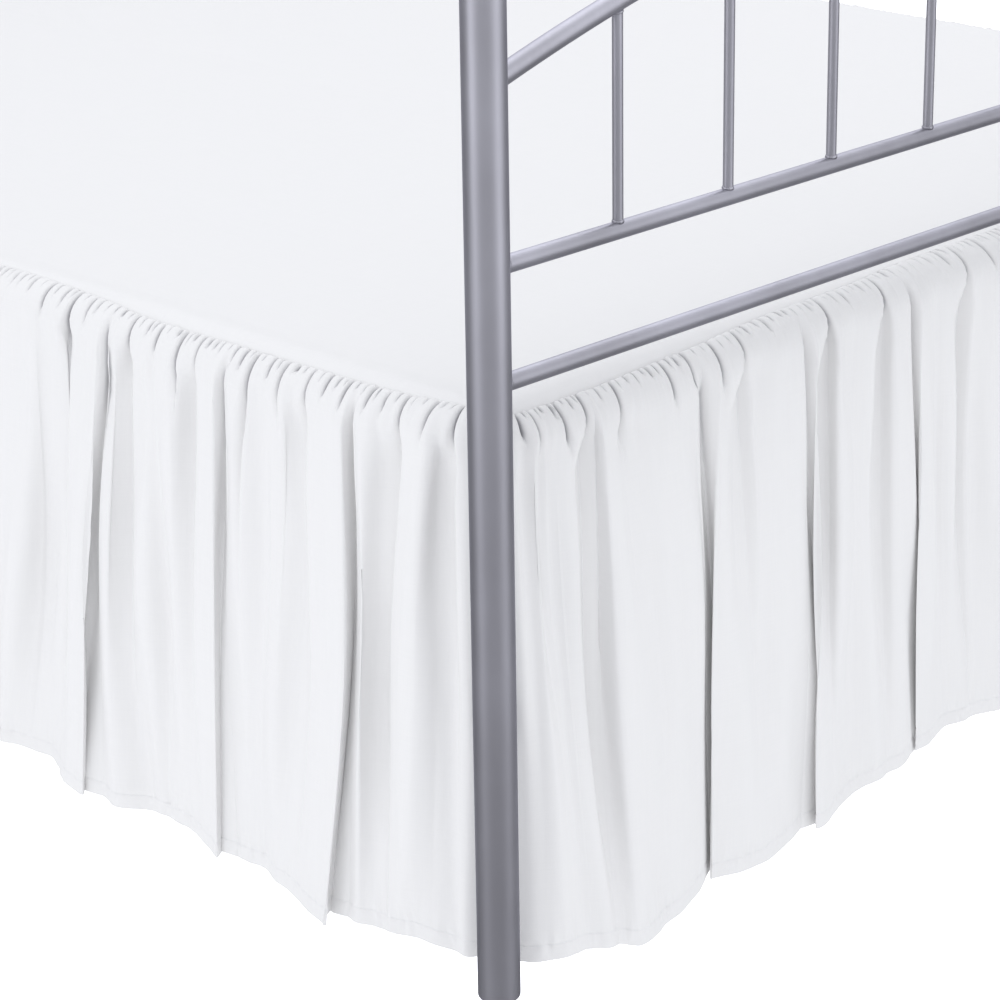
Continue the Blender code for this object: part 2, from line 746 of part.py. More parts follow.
def build_bracket(name, side, end, material):
    """A bent plate: one leg on the end of the side rail, the other out to the post."""
    toward_head = 1.0 if end.y > 0 else -1.0
    half = BRACKET_THICKNESS / 2
    face = SIDE_RAIL_END + TOUCH + half
    elbow = Vector((SIDE_RAIL_X - 0.004, face))
    inner = Vector((SIDE_RAIL_X - SIDE_RAIL_WIDTH / 2, face))
    post = Vector((POST_X, abs(end.y)))
    heading = (post - elbow).normalized()
    tip = post - heading * (POST_RADIUS + 0.0006)
    across = Vector((-heading.y, heading.x))
    bend = (Vector((0.0, 1.0)) + across).normalized()
    bend *= half / max(0.2, bend.dot(across))
    outline = [inner - Vector((0.0, half)), elbow - bend, tip - across * half,
               tip + across * half, elbow + bend, inner + Vector((0.0, half))]
    middle = FRAME_TOP - SIDE_RAIL_HEIGHT / 2
    rings = []
    for z in (middle - BRACKET_HEIGHT / 2, middle + BRACKET_HEIGHT / 2):
        rings.append([Vector((side * p.x, toward_head * p.y, z)) for p in outline])
    vertices, faces = skin_rings(rings)
    return add_object(name, vertices, faces, material, smooth=False)


def build_bed_end(end, material):
    """Two posts, two rails, an arch and its spindles."""
    for side_name, side in (("left", -1.0), ("right", 1.0)):
        build_post("%s_post_%s" % (end.name, side_name), side * POST_X, end.y, end.post_top, material)
        build_bracket("%s_bracket_%s" % (end.name, side_name), side, end, material)
    build_cross_rail(end.name + "_low_rail", end.y, end.low_rail, material)
    build_cross_rail(end.name + "_mid_rail", end.y, end.mid_rail, material)
    build_arch(end, material)
    for index in range(SPINDLE_COUNT):
        build_spindle(end, index, material)


def main():
    clear_scene()
    materials = make_materials()
    build_box_spring(materials["ticking"])
    build_deck(materials["deck_cloth"])
    for panel in ("left", "right", "foot"):
        build_ruffle(panel, materials["skirt_cloth"])
    for end in BED_ENDS:
        build_bed_end(end, materials["silver_steel"])
    for side_name, side in (("left", -1.0), ("right", 1.0)):
        build_side_rail("side_rail_" + side_name, side, materials["silver_steel"])
    for index, y in enumerate(SLAT_YS):
        build_slat(index, y, materials["slat_wood"])


main()
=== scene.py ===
"""Looks of a gathered bed skirt on its metal bed.

Metres, +Z up and the head of the bed at +Y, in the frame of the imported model. The
tables of the cloth's folds are in millimetres, as a sewing pattern would give them.
"""
from __future__ import annotations

import json
import logging
import math
import random
from dataclasses import dataclass, replace
from enum import Enum

import bmesh
import bpy
import numpy as np
from mathutils import Matrix, Vector

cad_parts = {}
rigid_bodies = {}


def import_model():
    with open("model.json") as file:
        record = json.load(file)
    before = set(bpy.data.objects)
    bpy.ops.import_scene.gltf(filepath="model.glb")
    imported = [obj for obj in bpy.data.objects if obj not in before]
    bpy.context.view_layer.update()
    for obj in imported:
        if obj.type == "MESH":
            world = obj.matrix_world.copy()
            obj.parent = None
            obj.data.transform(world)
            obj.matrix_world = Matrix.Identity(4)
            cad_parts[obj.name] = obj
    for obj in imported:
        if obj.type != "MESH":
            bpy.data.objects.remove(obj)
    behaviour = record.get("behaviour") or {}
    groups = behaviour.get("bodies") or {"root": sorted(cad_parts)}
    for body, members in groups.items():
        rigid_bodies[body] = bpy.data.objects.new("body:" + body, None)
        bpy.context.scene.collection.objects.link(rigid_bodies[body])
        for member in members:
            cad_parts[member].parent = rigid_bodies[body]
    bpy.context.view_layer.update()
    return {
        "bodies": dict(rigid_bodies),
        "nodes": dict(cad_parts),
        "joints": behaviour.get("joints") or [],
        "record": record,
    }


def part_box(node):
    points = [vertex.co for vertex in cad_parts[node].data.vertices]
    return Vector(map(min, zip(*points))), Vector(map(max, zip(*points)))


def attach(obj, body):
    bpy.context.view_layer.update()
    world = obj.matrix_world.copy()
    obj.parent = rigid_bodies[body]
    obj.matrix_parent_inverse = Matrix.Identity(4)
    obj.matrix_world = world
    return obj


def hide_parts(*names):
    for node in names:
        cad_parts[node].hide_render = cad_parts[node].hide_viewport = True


MM = 0.001
BODY = "root"
LOG = logging.getLogger("bed_skirt")
Number = float | np.ndarray

# Lengths of waves that keep their height all along that way.
UNCHANGING = (1e6, 2e6)


# Sums on arrays ------------------------------------------------------------------------

def blend(a: Number, b: Number, t: Number) -> Number:
    """The value a share t of the way from a to b."""
    return a + (b - a) * t


def ease(t: Number) -> Number:
    """A share from 0 to 1 with a level start and end."""
    t = np.clip(t, 0.0, 1.0)
    return t * t * (3.0 - 2.0 * t)


def cubic(a: Number, b: Number, slope_a: Number, slope_b: Number, t: Number) -> Number:
    """A cubic from a to b.

    Args:
        a: Value at the start.
        b: Value at the end.
        slope_a: Slope at the start, for the whole step.
        slope_b: Slope at the end, for the whole step.
        t: Share of the step.

    Returns:
        The value at t.
    """
    t2, t3 = t * t, t * t * t
    start = (2 * t3 - 3 * t2 + 1) * a + (t3 - 2 * t2 + t) * slope_a
    return start + (-2 * t3 + 3 * t2) * b + (t3 - t2) * slope_b


def smooth_through(knots: np.ndarray, values: np.ndarray, at: np.ndarray,
                   rising: bool = False) -> np.ndarray:
    """A smooth curve through values.

    Args:
        knots: Places of the values, rising.
        values: The values there.
        at: Places to read.
        rising: Whether the curve never falls, as its values don't.

    Returns:
        The curve's values at those places.
    """
    steps = np.diff(knots)
    secants = np.diff(values) / steps
    if rising:
        before, after = secants[:-1], secants[1:]
        inner = 2.0 * before * after / np.maximum(before + after, 1e-12)
    else:
        inner = (values[2:] - values[:-2]) / (knots[2:] - knots[:-2])
    slopes = np.concatenate([secants[:1], inner, secants[-1:]])
    index = np.clip(np.searchsorted(knots, at, side="right") - 1, 0, len(knots) - 2)
    step = steps[index]
    t = (at - knots[index]) / step
    return cubic(values[index], values[index + 1], slopes[index] * step,
                 slopes[index + 1] * step, t)


def unit(vectors: np.ndarray) -> np.ndarray:
    """The same directions with a length of one."""
    return vectors / np.maximum(np.linalg.norm(vectors, axis=-1, keepdims=True), 1e-12)


def headings(points: np.ndarray, axis: int) -> np.ndarray:
    """Direction of a grid's lines at each point, half-way between the two stretches there.

    Args:
        points: Grid of points.
        axis: 0 for lines that run down the rows, 1 for lines along them.

    Returns:
        A direction for each point.
    """
    stretches = unit(np.diff(points, axis=axis))
    none = np.zeros_like(np.take(points, [0], axis=axis))
    return (np.concatenate([none, stretches], axis=axis)
            + np.concatenate([stretches, none], axis=axis))


@dataclass(frozen=True)
class Waves:
    """Gentle uneven waves over a piece: height, and shortest and longest wave, in mm."""

    height: float
    lengths: tuple
    lengths_down: tuple = UNCHANGING
    count: int = 9

    def at(self, rng: random.Random, across: np.ndarray, down: Number = 0.0) -> np.ndarray:
        """Heights of the waves.

        Args:
            rng: Source of their sizes.
            across: Places along the piece, in mm.
            down: Places down the piece, in mm.

        Returns:
            The height at each place.
        """
        total = 0.0
        for _ in range(self.count):
            lean = rng.choice((-1.0, 1.0)) / rng.uniform(*self.lengths_down)
            turn = 2.0 * math.pi * (across / rng.uniform(*self.lengths) + down * lean)
            total = total + np.sin(turn + rng.uniform(0.0, 2.0 * math.pi))
        return self.height * (total / math.sqrt(self.count))


# Sizes of the bed ----------------------------------------------------------------------

class Side(Enum):
    """Which side of the bed a ruffle hangs on."""

    LEFT = "left"
    RIGHT = "right"
    FOOT = "foot"


@dataclass(frozen=True)
class BedSizes:
    """Sizes that the cloth is sewn to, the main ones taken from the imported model."""

    width: float
    length: float
    box_top: float
    box_bottom: float
    plan_radius: float = 0.045
    top_radius: float = 0.020
    touch: float = 0.0003
    edge_clearance: float = 0.002
    deck_thickness: float = 0.0013
    deck_border: float = 0.022
    deck_head_y: float = 1.000
    ruffle_head_y: float = 0.985

    @classmethod
    def from_frame(cls) -> "BedSizes":
        """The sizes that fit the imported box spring."""
        low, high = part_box("box_spring")
        return cls(high.x - low.x, high.y - low.y, high.z, low.z)

    @property
    def arc(self) -> float:
        """Length of half of a rounded plan corner."""
        return self.plan_radius * math.pi / 4.0

    def run_length(self, side: Side) -> float:
        """Length of a ruffle's seam, along the straight edge and its corners.

        Args:
            side: Side of the bed.

        Returns:
            The length in metres.
        """
        if side is Side.FOOT:
            return 2.0 * self.arc + self.width - 2.0 * self.plan_radius
        return self.arc + self.ruffle_head_y + self.length / 2.0 - self.plan_radius


# How far round the box's top edge the seam lies, at places along it (mm, degrees): 0 is on
# top of the box and 90 on its side.
SIDE_SEAM = (
    (0, 40), (30, 34), (50, 37), (100, 47), (200, 51), (320, 52), (450, 51), (490, 41),
    (570, 31), (650, 28), (1000, 36), (1500, 48), (2000, 40),
)
FOOT_SEAM = (
    (0, 46), (25, 55), (140, 56), (205, 49), (265, 44), (340, 31), (410, 25), (500, 22),
    (560, 10), (660, 4), (760, 2), (950, 12), (1150, 30), (1350, 46), (1505, 42),
)


@dataclass(frozen=True)
class SeamPath:
    """The line on which deck and ruffle are sewn together, on one side of the bed."""

    side: Side
    bed: BedSizes
    seam_gap: float = 0.0002

    @property
    def length(self) -> float:
        """Length of the whole seam."""
        return self.bed.run_length(self.side)

    @property
    def radius(self) -> float:
        """Radius of the middle of the deck where it turns over the box's edge."""
        return self.bed.top_radius + self.bed.edge_clearance + self.bed.deck_thickness / 2.0

    def turn(self, run: np.ndarray) -> np.ndarray:
        """Angle of the seam round the box's top edge.

        Args:
            run: Places along the seam, from the split corner.

        Returns:
            The angle at each place, in radians.
        """
        table = FOOT_SEAM if self.side is Side.FOOT else SIDE_SEAM
        at, degrees = np.array(table, dtype=float).T
        at = at * MM
        return np.radians(smooth_through(at, degrees, np.clip(run, at[0], at[-1])))

    def over_edge(self, turn: Number, lift: float = 0.0) -> tuple:
        """Place of a sheet's middle on the box's rounded top edge.

        Args:
            turn: How far it has turned over the edge, in radians.
            lift: Its height over the deck's middle there.

        Returns:
            How far out from the side of the box, and the height.
        """
        bed = self.bed
        return (-bed.top_radius + (self.radius + lift) * np.sin(turn),
                bed.box_top - bed.top_radius + (self.radius + lift) * np.cos(turn))

    def world(self, run: np.ndarray, out: np.ndarray, z: np.ndarray) -> np.ndarray:
        """World points of places on this side.

        Args:
            run: Places along the seam, from the split corner.
            out: How far out from the side of the box.
            z: Heights.

        Returns:
            The points, with x, y and z last.
        """
        bed, radius = self.bed, self.bed.plan_radius
        run, out, z = np.broadcast_arrays(run, out, z)
        far = (run > self.length / 2.0) & (self.side is Side.FOOT)
        near = np.where(far, self.length - run, run)
        turn = math.pi / 4.0 - near / radius
        on_corner = near < bed.arc
        along = np.where(on_corner, radius - (radius + out) * np.sin(turn),
                         radius + near - bed.arc)
        outward = np.where(on_corner, -radius + (radius + out) * np.cos(turn), out)
        if self.side is Side.FOOT:
            along = np.where(far, bed.width - along, along)
            return np.stack([along - bed.width / 2, -bed.length / 2 - outward, z], axis=-1)
        sign = -1.0 if self.side is Side.LEFT else 1.0
        return np.stack([sign * (bed.width / 2 + outward), along - bed.length / 2, z], axis=-1)


# The ruffles' folds --------------------------------------------------------------------

class FoldKind(Enum):
    """Kinds of lines down the cloth, with how far each stands out under the gathering (mm)."""

    END = 18.0
    CREST = 22.0
    HOLLOW = 16.0
    SHOULDER = 20.0
    POCKET = 10.0
    LIP = 25.0
    KNUCKLE = 21.0


END, CREST, HOLLOW, SHOULDER, POCKET, LIP, KNUCKLE = FoldKind


@dataclass(frozen=True)
class Fold:
    """One line that runs down the cloth, in mm.

    at_top, at_mid and at_hem are its places along the edge, from the split corner;
    out_mid and out_hem are how far it stands out from the box; lift is its hem's
    height over the floor.
    """

    kind: FoldKind
    at_top: float
    at_mid: float
    at_hem: float
    out_mid: float
    out_hem: float
    lift: float = 16.0


SIDE_FOLDS = tuple(Fold(*row) for row in (
    (END, 6, 6, 6, 28, 36),
    (CREST, 14, 13, 14, 34, 44),
    (HOLLOW, 30, 28, 25, 20, 38),
    (CREST, 47, 55, 56, 42, 45),
    (HOLLOW, 104, 108, 96, 24, 52),
    (CREST, 126, 117, 114, 42, 59),
    (SHOULDER, 137, 126, 128, 38, 55),
    (POCKET, 144, 138, 149, 30, 58, 14),
    (LIP, 151, 133, 141, 48, 75, 10),
    (CREST, 178, 162, 170, 48, 66, 12),
    (HOLLOW, 219, 203, 214, 36, 55, 15),
    (CREST, 232, 227, 236, 44, 50),
    (HOLLOW, 259, 251, 262, 36, 44),
    (CREST, 280, 275, 280, 45, 42),
    (SHOULDER, 307, 299, 297, 40, 38),
    (POCKET, 315, 310, 316, 37, 44),
    (LIP, 322, 307, 315, 50, 54, 12),
    (CREST, 342, 330, 335, 48, 47, 14),
    (HOLLOW, 364, 352, 362, 42, 38),
    (CREST, 384, 374, 386, 46, 34),
    (HOLLOW, 412, 398, 410, 29, 26),
    (CREST, 427, 419, 426, 36, 32),
    (HOLLOW, 452, 452, 446, 29, 36),
    (CREST, 467, 468, 470, 46, 53),
    (SHOULDER, 476, 484, 499, 41, 43),
    (POCKET, 482, 497, 533, 35, 44),
    (LIP, 488, 493, 522, 51, 52, 14),
    (CREST, 512, 512, 548, 48, 53),
    (HOLLOW, 534, 534, 570, 38, 41),
    (CREST, 551, 546, 590, 42, 30),
    (HOLLOW, 582, 584, 634, 24, 18),
    (CREST, 608, 610, 684, 40, 29),
))
FOOT_FOLDS = tuple(Fold(*row) for row in (
    (END, 6, 6, 7, 38, 48),
    (CREST, 14, 13, 13, 46, 58),
    (HOLLOW, 22, 20, 20, 42, 62),
    (CREST, 31, 27, 27, 46, 66),
    (HOLLOW, 43, 38, 36, 36, 68),
    (CREST, 78, 62, 54, 50, 77, 14),
    (HOLLOW, 106, 86, 71, 39, 75, 12),
    (LIP, 110, 86, 87, 62, 86, 8),
    (CREST, 130, 106, 108, 65, 85, 8),
    (HOLLOW, 154, 145, 138, 54, 80, 10),
    (CREST, 176, 168, 162, 59, 74, 12),
    (CREST, 218, 206, 208, 53, 57, 14),
    (SHOULDER, 238, 224, 231, 42, 45),
    (POCKET, 252, 241, 247, 38, 44),
    (LIP, 266, 226, 221, 53, 57, 14),
    (CREST, 294, 259, 252, 58, 69, 14),
    (HOLLOW, 325, 302, 290, 50, 68),
    (CREST, 352, 328, 320, 54, 66),
    (SHOULDER, 385, 373, 358, 44, 54),
    (POCKET, 396, 386, 384, 41, 57),
    (LIP, 406, 379, 372, 52, 63),
    (HOLLOW, 432, 404, 400, 44, 57),
    (CREST, 446, 418, 416, 50, 53),
    (HOLLOW, 468, 448, 456, 38, 40),
    (CREST, 495, 477, 486, 44, 41),
    (HOLLOW, 519, 504, 512, 32, 38),
    (CREST, 532, 523, 536, 38, 39),
    (SHOULDER, 549, 551, 572, 33, 23),
    (POCKET, 558, 568, 594, 28, 22),
    (LIP, 567, 557, 573, 36, 29, 18),
    (CREST, 580, 578, 598, 37, 27),
    (HOLLOW, 600, 600, 640, 24, 12),
    (CREST, 624, 624, 662, 32, 15),
    (HOLLOW, 667, 666, 690, 18, 17),
    (CREST, 692, 695, 722, 32, 28),
))

# Places of the small gathers along each seam, and how far each runs down the cloth (mm).
SIDE_GATHERS = (
    (26, 50), (45, 7), (55, 30), (88, 90), (110, 19), (130, 22), (159, 25), (173, 13),
    (185, 21), (207, 36), (226, 9), (230, 10), (242, 46), (260, 20), (283, 160), (298, 18),
    (310, 17), (338, 10), (347, 11), (357, 76), (368, 9), (382, 60), (392, 9), (414, 26),
    (430, 14), (453, 36), (472, 9), (507, 14), (519, 24), (542, 22), (559, 18), (584, 28),
    (610, 15), (637, 13), (667, 60),
)
FOOT_GATHERS = (
    (24, 30), (37, 105), (51, 8), (62, 16), (70, 45), (85, 12), (99, 55), (121, 14), (142, 60),
    (161, 8), (183, 8), (190, 13), (209, 40), (227, 12), (240, 34), (277, 46), (312, 72),
    (330, 12), (345, 9), (356, 16), (381, 9), (390, 8), (420, 14), (436, 18), (471, 18),
    (500, 12), (521, 30), (545, 10), (574, 10), (612, 12), (633, 18), (654, 12), (694, 30),
    (712, 10), (733, 24),
)


@dataclass(frozen=True)
class FoldPlan:
    """Every fold line of one ruffle, from the split corner on."""

    side: Side
    length: float
    shared: int = 11
    far_corner_seed: int = 11
    left_seed: int = 23
    right_seed: int = 37
    pocket_floor_top: float = 2.4
    pocket_floor: float = 4.0
    knuckle: float = 0.16
    middle_margin: float = 20.0
    head_margin: float = 30.0
    last_margin: float = 18.0
    widths: tuple = (150.0, 205.0)
    least_room: float = 110.0
    least_width: float = 60.0
    end_margin: float = 20.0

    def lines(self) -> list[Fold]:
        """The fold lines in the order of the cloth.

        Returns:
            The lines read off the real cloth near the split corner, then more of their kind.
        """
        span = self.length / MM
        if self.side is Side.FOOT:
            half = span / 2.0
            far = self.carried_on(FOOT_FOLDS[:self.shared], half - self.middle_margin,
                                  self.far_corner_seed)
            while far[-1].at_top > half:
                far.pop()
            return self.opened(list(FOOT_FOLDS) + self.mirrored(far, span))
        left = self.side is Side.LEFT
        folds = SIDE_FOLDS if left else SIDE_FOLDS[:self.shared]
        lines = self.carried_on(folds, span - self.head_margin,
                                self.left_seed if left else self.right_seed)
        while lines[-1].at_top > span - self.last_margin:
            lines.pop()
        return self.opened(lines + [Fold(END, span, span, span, 30, 34)])

    @staticmethod
    def mirrored(folds: list[Fold], span: float) -> list[Fold]:
        """The same folds counted from the other end of the seam."""
        return [replace(f, at_top=span - f.at_top, at_mid=span - f.at_mid,
                        at_hem=span - f.at_hem) for f in reversed(folds)]

    def carried_on(self, folds: tuple, stop: float, seed: int) -> list[Fold]:
        """More pleats of the same kind after the given ones.

        Args:
            folds: The folds that it starts from.
            stop: About where the pleats end, in mm.
            seed: Seed of their sizes.

        Returns:
            The given folds and the new ones.
        """
        rng = random.Random(seed)
        lines = list(folds)
        start = lines[-1].at_top
        while stop - start > self.least_room:
            width = rng.uniform(*self.widths)
            if stop - start - width < self.least_width:
                width = stop - start - self.end_margin
            lean = rng.uniform(-8.0, 8.0)
            spread = rng.uniform(4.0, 16.0)
            lip_mid, lip_hem = rng.uniform(45, 53), rng.uniform(46, 64)
            floor_hem = rng.uniform(12, 26)
            share = rng.uniform(0.30, 0.38)
            hollow = start + width * share
            crest = start + width * (share + 0.25)
            pocket = start + width
            lines += [
                Fold(HOLLOW, hollow, hollow + lean, hollow + 2 * lean, rng.uniform(24, 34),
                     rng.uniform(24, 38)),
                Fold(CREST, crest, crest + lean, crest + lean, rng.uniform(38, 46),
                     rng.uniform(34, 50)),
                Fold(SHOULDER, pocket - 9, pocket - 9, pocket - 4, rng.uniform(38, 43),
                     rng.uniform(36, 46)),
                Fold(POCKET, pocket, pocket + 9, pocket + 12 + spread, 30, floor_hem + 10.0),
                Fold(LIP, pocket + 9, pocket, pocket + 3, lip_mid, lip_hem, 13.0),
                Fold(CREST, pocket + 34, pocket + 28, pocket + 34, lip_mid - 2.0,
                     lip_hem - 5.0),
            ]
            start = lines[-1].at_top
        return lines

    def opened(self, folds: list[Fold]) -> list[Fold]:
        """The same lines with a floor for each pocket, and a tight turn at both its edges.

        Args:
            folds: The fold lines, with one for each pocket.

        Returns:
            The fold lines, with four for each pocket.
        """
        lines = []
        top, below = self.pocket_floor_top / 2.0, self.pocket_floor / 2.0
        for before, f, after in zip([None] + folds[:-1], folds, folds[1:] + [None]):
            if f.kind is not POCKET:
                lines.append(f)
                continue
            lines.append(self.between(before, f, self.knuckle))
            for way in (-1.0, 1.0):
                lines.append(replace(f, at_top=f.at_top + way * top,
                                     at_mid=f.at_mid + way * below,
                                     at_hem=f.at_hem + way * below))
            lines.append(self.between(after, f, self.knuckle))
        return lines

    @staticmethod
    def between(edge: Fold, pocket: Fold, share: float) -> Fold:
        """A line on the way from a pleat's edge down into its pocket.

        Args:
            edge: The line of the pleat's edge.
            pocket: The line of the pocket.
            share: How far down it is.

        Returns:
            The new line.
        """
        return Fold(KNUCKLE, blend(edge.at_top, pocket.at_top, 0.3),
                    blend(edge.at_mid, pocket.at_mid, share),
                    blend(edge.at_hem, pocket.at_hem, share),
                    blend(edge.out_mid, pocket.out_mid, share),
                    blend(edge.out_hem, pocket.out_hem, share), edge.lift)


@dataclass(frozen=True)
class Gather:
    """One small pinch of the cloth below the seam, in mm."""

    at: float
    reach: float
    depth: float
    opens: float = 0.0


@dataclass(frozen=True)
class GatherShape:
    """The furrow that one gather presses into the cloth, in mm."""

    starts_over: float = 2.0
    opens_from: float = 26.0
    opens_over: float = 60.0
    room: float = 3.0
    room_growth: float = 1.4
    width: float = 0.3
    width_by_depth: float = 0.13
    width_growth: float = 0.01
    edge: float = 1.6
    edge_opened: float = 0.5
    lean: float = 0.8
    pull: float = 0.5
    pull_width: float = 2.2

    def pressed(self, gather: Gather, offset: np.ndarray, below: np.ndarray,
                gentle_side: float) -> tuple[np.ndarray, np.ndarray]:
        """What the gather does to the cloth about it.

        Args:
            gather: The gather.
            offset: Distance of each column from it along the seam.
            below: Distance of each row below the seam.
            gentle_side: The side of the furrow that slopes gently, -1 or 1.

        Returns:
            A depth for each point, and how far it is drawn toward the gather.
        """
        opened = ease((below - self.opens_from) / self.opens_over)
        deep = np.minimum(self.room + self.room_growth * below, gather.depth)
        width = self.width + self.width_by_depth * gather.depth + gather.opens * opened \
            + self.width_growth * below
        fade = ease(below / self.starts_over) \
            * (1.0 - ease((below - 0.5 * gather.reach) / gather.reach))
        lean = np.where(offset * gentle_side > 0.0, self.lean, -self.lean) * opened[:, None]
        furrow = np.exp(-(np.abs(offset) / (width[:, None] * (1.0 + lean)))
                        ** (self.edge + self.edge_opened * opened)[:, None])
        share = offset / (self.pull_width * width[:, None])
        pull = (self.pull * width * fade * (1.0 - opened))[:, None]
        return (deep * fade)[:, None] * furrow, pull * share * np.exp(0.5 * (1.0 - share * share))


@dataclass(frozen=True)
class GatherPlan:
    """The row of small gathers that draws one ruffle in to its seam.

    length is in metres, and every other size in mm. The drags are the gathers that run on
    down a hollow, and the small ones fill the gaps.
    """

    side: Side
    length: float
    seed: int
    shared: int = 9
    end_gap: float = 12.0
    pitches: tuple = (8.0, 15.0)
    reaches: tuple = (9.0, 13.0, 18.0, 26.0, 42.0)
    reach_favour: float = 0.25
    drag_reaches: tuple = (230.0, 420.0)
    drag_depths: tuple = (11.0, 15.0)
    drag_openings: tuple = (9.0, 13.0)
    deepest_share: float = 0.22
    widest_share: float = 0.25
    small_reaches: tuple = (7.0, 14.0)
    small_depths: tuple = (3.0, 5.5)
    small_shift: float = 1.2
    widest_gap: float = 13.0
    long_reach: float = 50.0
    least_depth: float = 8.0
    more_depth: float = 7.0
    opening: float = 6.0

    def pinch(self, at: float, reach: float) -> Gather:
        """A gather: one that runs further down is pinched deeper and opens.

        Args:
            at: Its place on the seam.
            reach: How far it runs down the cloth.

        Returns:
            The gather.
        """
        share = min(1.0, reach / self.long_reach)
        return Gather(at, reach, self.least_depth + self.more_depth * share,
                      self.opening * max(0.0, share - 0.4))

    def gathers(self, folds: list[Fold]) -> list[Gather]:
        """Measured gathers where the cloth is known, then more of the same kind.

        Args:
            folds: The ruffle's fold lines; a gather near a hollow runs on down its floor.

        Returns:
            The gathers in the order of the cloth.
        """
        rng = random.Random(self.seed)
        table = FOOT_GATHERS if self.side is Side.FOOT else SIDE_GATHERS
        if self.side is Side.RIGHT:
            table = table[:self.shared]
        places = [(at + rng.uniform(-0.5, 0.5), float(reach)) for at, reach in table]
        span = self.length / MM
        at = places[-1][0]
        while at < span - self.end_gap:
            at += rng.uniform(*self.pitches)
            places.append((at, rng.choice(self.reaches)))
        made = [self.pinch(at, reach) for at, reach in places]
        for before, fold, after in zip(folds, folds[1:], folds[2:]):
            if fold.kind is HOLLOW:
                wide = after.at_mid - before.at_mid
                nearest = min(range(len(made)), key=lambda i: abs(made[i].at - fold.at_top)
                              - self.reach_favour * made[i].reach)
                made[nearest] = Gather(
                    made[nearest].at, rng.uniform(*self.drag_reaches),
                    min(rng.uniform(*self.drag_depths), self.deepest_share * wide),
                    min(rng.uniform(*self.drag_openings), self.widest_share * wide))
        filled = []
        for gather, after in zip(made, made[1:] + [Gather(span, 0.0, 0.0)]):
            gap = after.at - gather.at
            extra = int(gap / self.widest_gap)
            filled.append(gather)
            filled += [Gather(gather.at + gap * (i + 1) / (extra + 1)
                              + rng.uniform(-self.small_shift, self.small_shift),
                              rng.uniform(*self.small_reaches),
                              rng.uniform(*self.small_depths)) for i in range(extra)]
        return filled


# Meshes --------------------------------------------------------------------------------

def add_piece(name: str, mesh: bpy.types.Mesh, material: bpy.types.Material,
              sharp_degrees: float = 60.0) -> bpy.types.Object:
    """Puts a finished mesh in the scene as a piece that rides on the bed.

    Args:
        name: Name of the piece.
        mesh: Its mesh.
        material: Its material.
        sharp_degrees: Edges that bend more than this stay sharp.

    Returns:
        The new object.
    """
    mesh.validate()
    mesh.shade_smooth()
    mesh.set_sharp_from_angle(angle=math.radians(sharp_degrees))
    mesh.materials.append(material)
    piece = bpy.data.objects.new(name, mesh)
    bpy.context.scene.collection.objects.link(piece)
    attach(piece, BODY)
    LOG.info("%s: %d points, %d faces", name, len(mesh.vertices), len(mesh.polygons))
    return piece


def mesh_from(name: str, points: np.ndarray, faces: list, uv: np.ndarray) -> bpy.types.Mesh:
    """A mesh with one texture place for each point.

    Args:
        name: Name of the mesh.
        points: Its points, one row each.
        faces: Its faces, as tuples of point numbers.
        uv: Texture place of each point, in metres along and up the cloth.

    Returns:
        The mesh.
    """
    mesh = bpy.data.meshes.new(name)
    mesh.from_pydata(points.tolist(), [], faces)
    layer = mesh.uv_layers.new(name="cloth")
    corner_points = np.zeros(len(mesh.loops), dtype=np.int64)
    mesh.loops.foreach_get("vertex_index", corner_points)
    layer.data.foreach_set("uv", uv[corner_points].astype(np.float32).ravel())
    return mesh


@dataclass
class ClothMesh:
    """A closed sheet of cloth about a grid of middle points."""

    name: str
    middle: np.ndarray
    normals: np.ndarray
    thickness: np.ndarray
    uv: np.ndarray
    joined_at_last: bool = False

    def faces(self) -> list:
        """Faces of both sides of the cloth and of its cut edges.

        Returns:
            The faces, as lists of point numbers.
        """
        rows, columns = self.middle.shape[:2]
        offset = rows * columns
        at = np.arange(offset).reshape(rows, columns)
        quads = np.stack([at[:-1, :-1], at[1:, :-1], at[1:, 1:], at[:-1, 1:]], axis=-1)
        front = quads.reshape(-1, 4)
        back = front[:, ::-1] + offset
        cut = [np.stack([at[0, :-1], at[0, 1:]], axis=-1),
               np.stack([at[-1, 1:], at[-1, :-1]], axis=-1),
               np.stack([at[1:, 0], at[:-1, 0]], axis=-1)]
        if not self.joined_at_last:
            cut.append(np.stack([at[:-1, -1], at[1:, -1]], axis=-1))
        rim = np.concatenate(cut)
        edge = np.column_stack([rim, rim[:, ::-1] + offset])
        return np.concatenate([front, back, edge]).tolist()

    def build(self) -> bpy.types.Mesh:
        """Builds the sheet.

        Returns:
            The finished mesh.
        """
        half = self.normals * self.thickness[..., None] / 2.0
        points = np.concatenate([(self.middle + half).reshape(-1, 3),
                                 (self.middle - half).reshape(-1, 3)])
        uv = self.uv.reshape(-1, 2)
        return mesh_from(self.name, points, self.faces(), np.concatenate([uv, uv]))


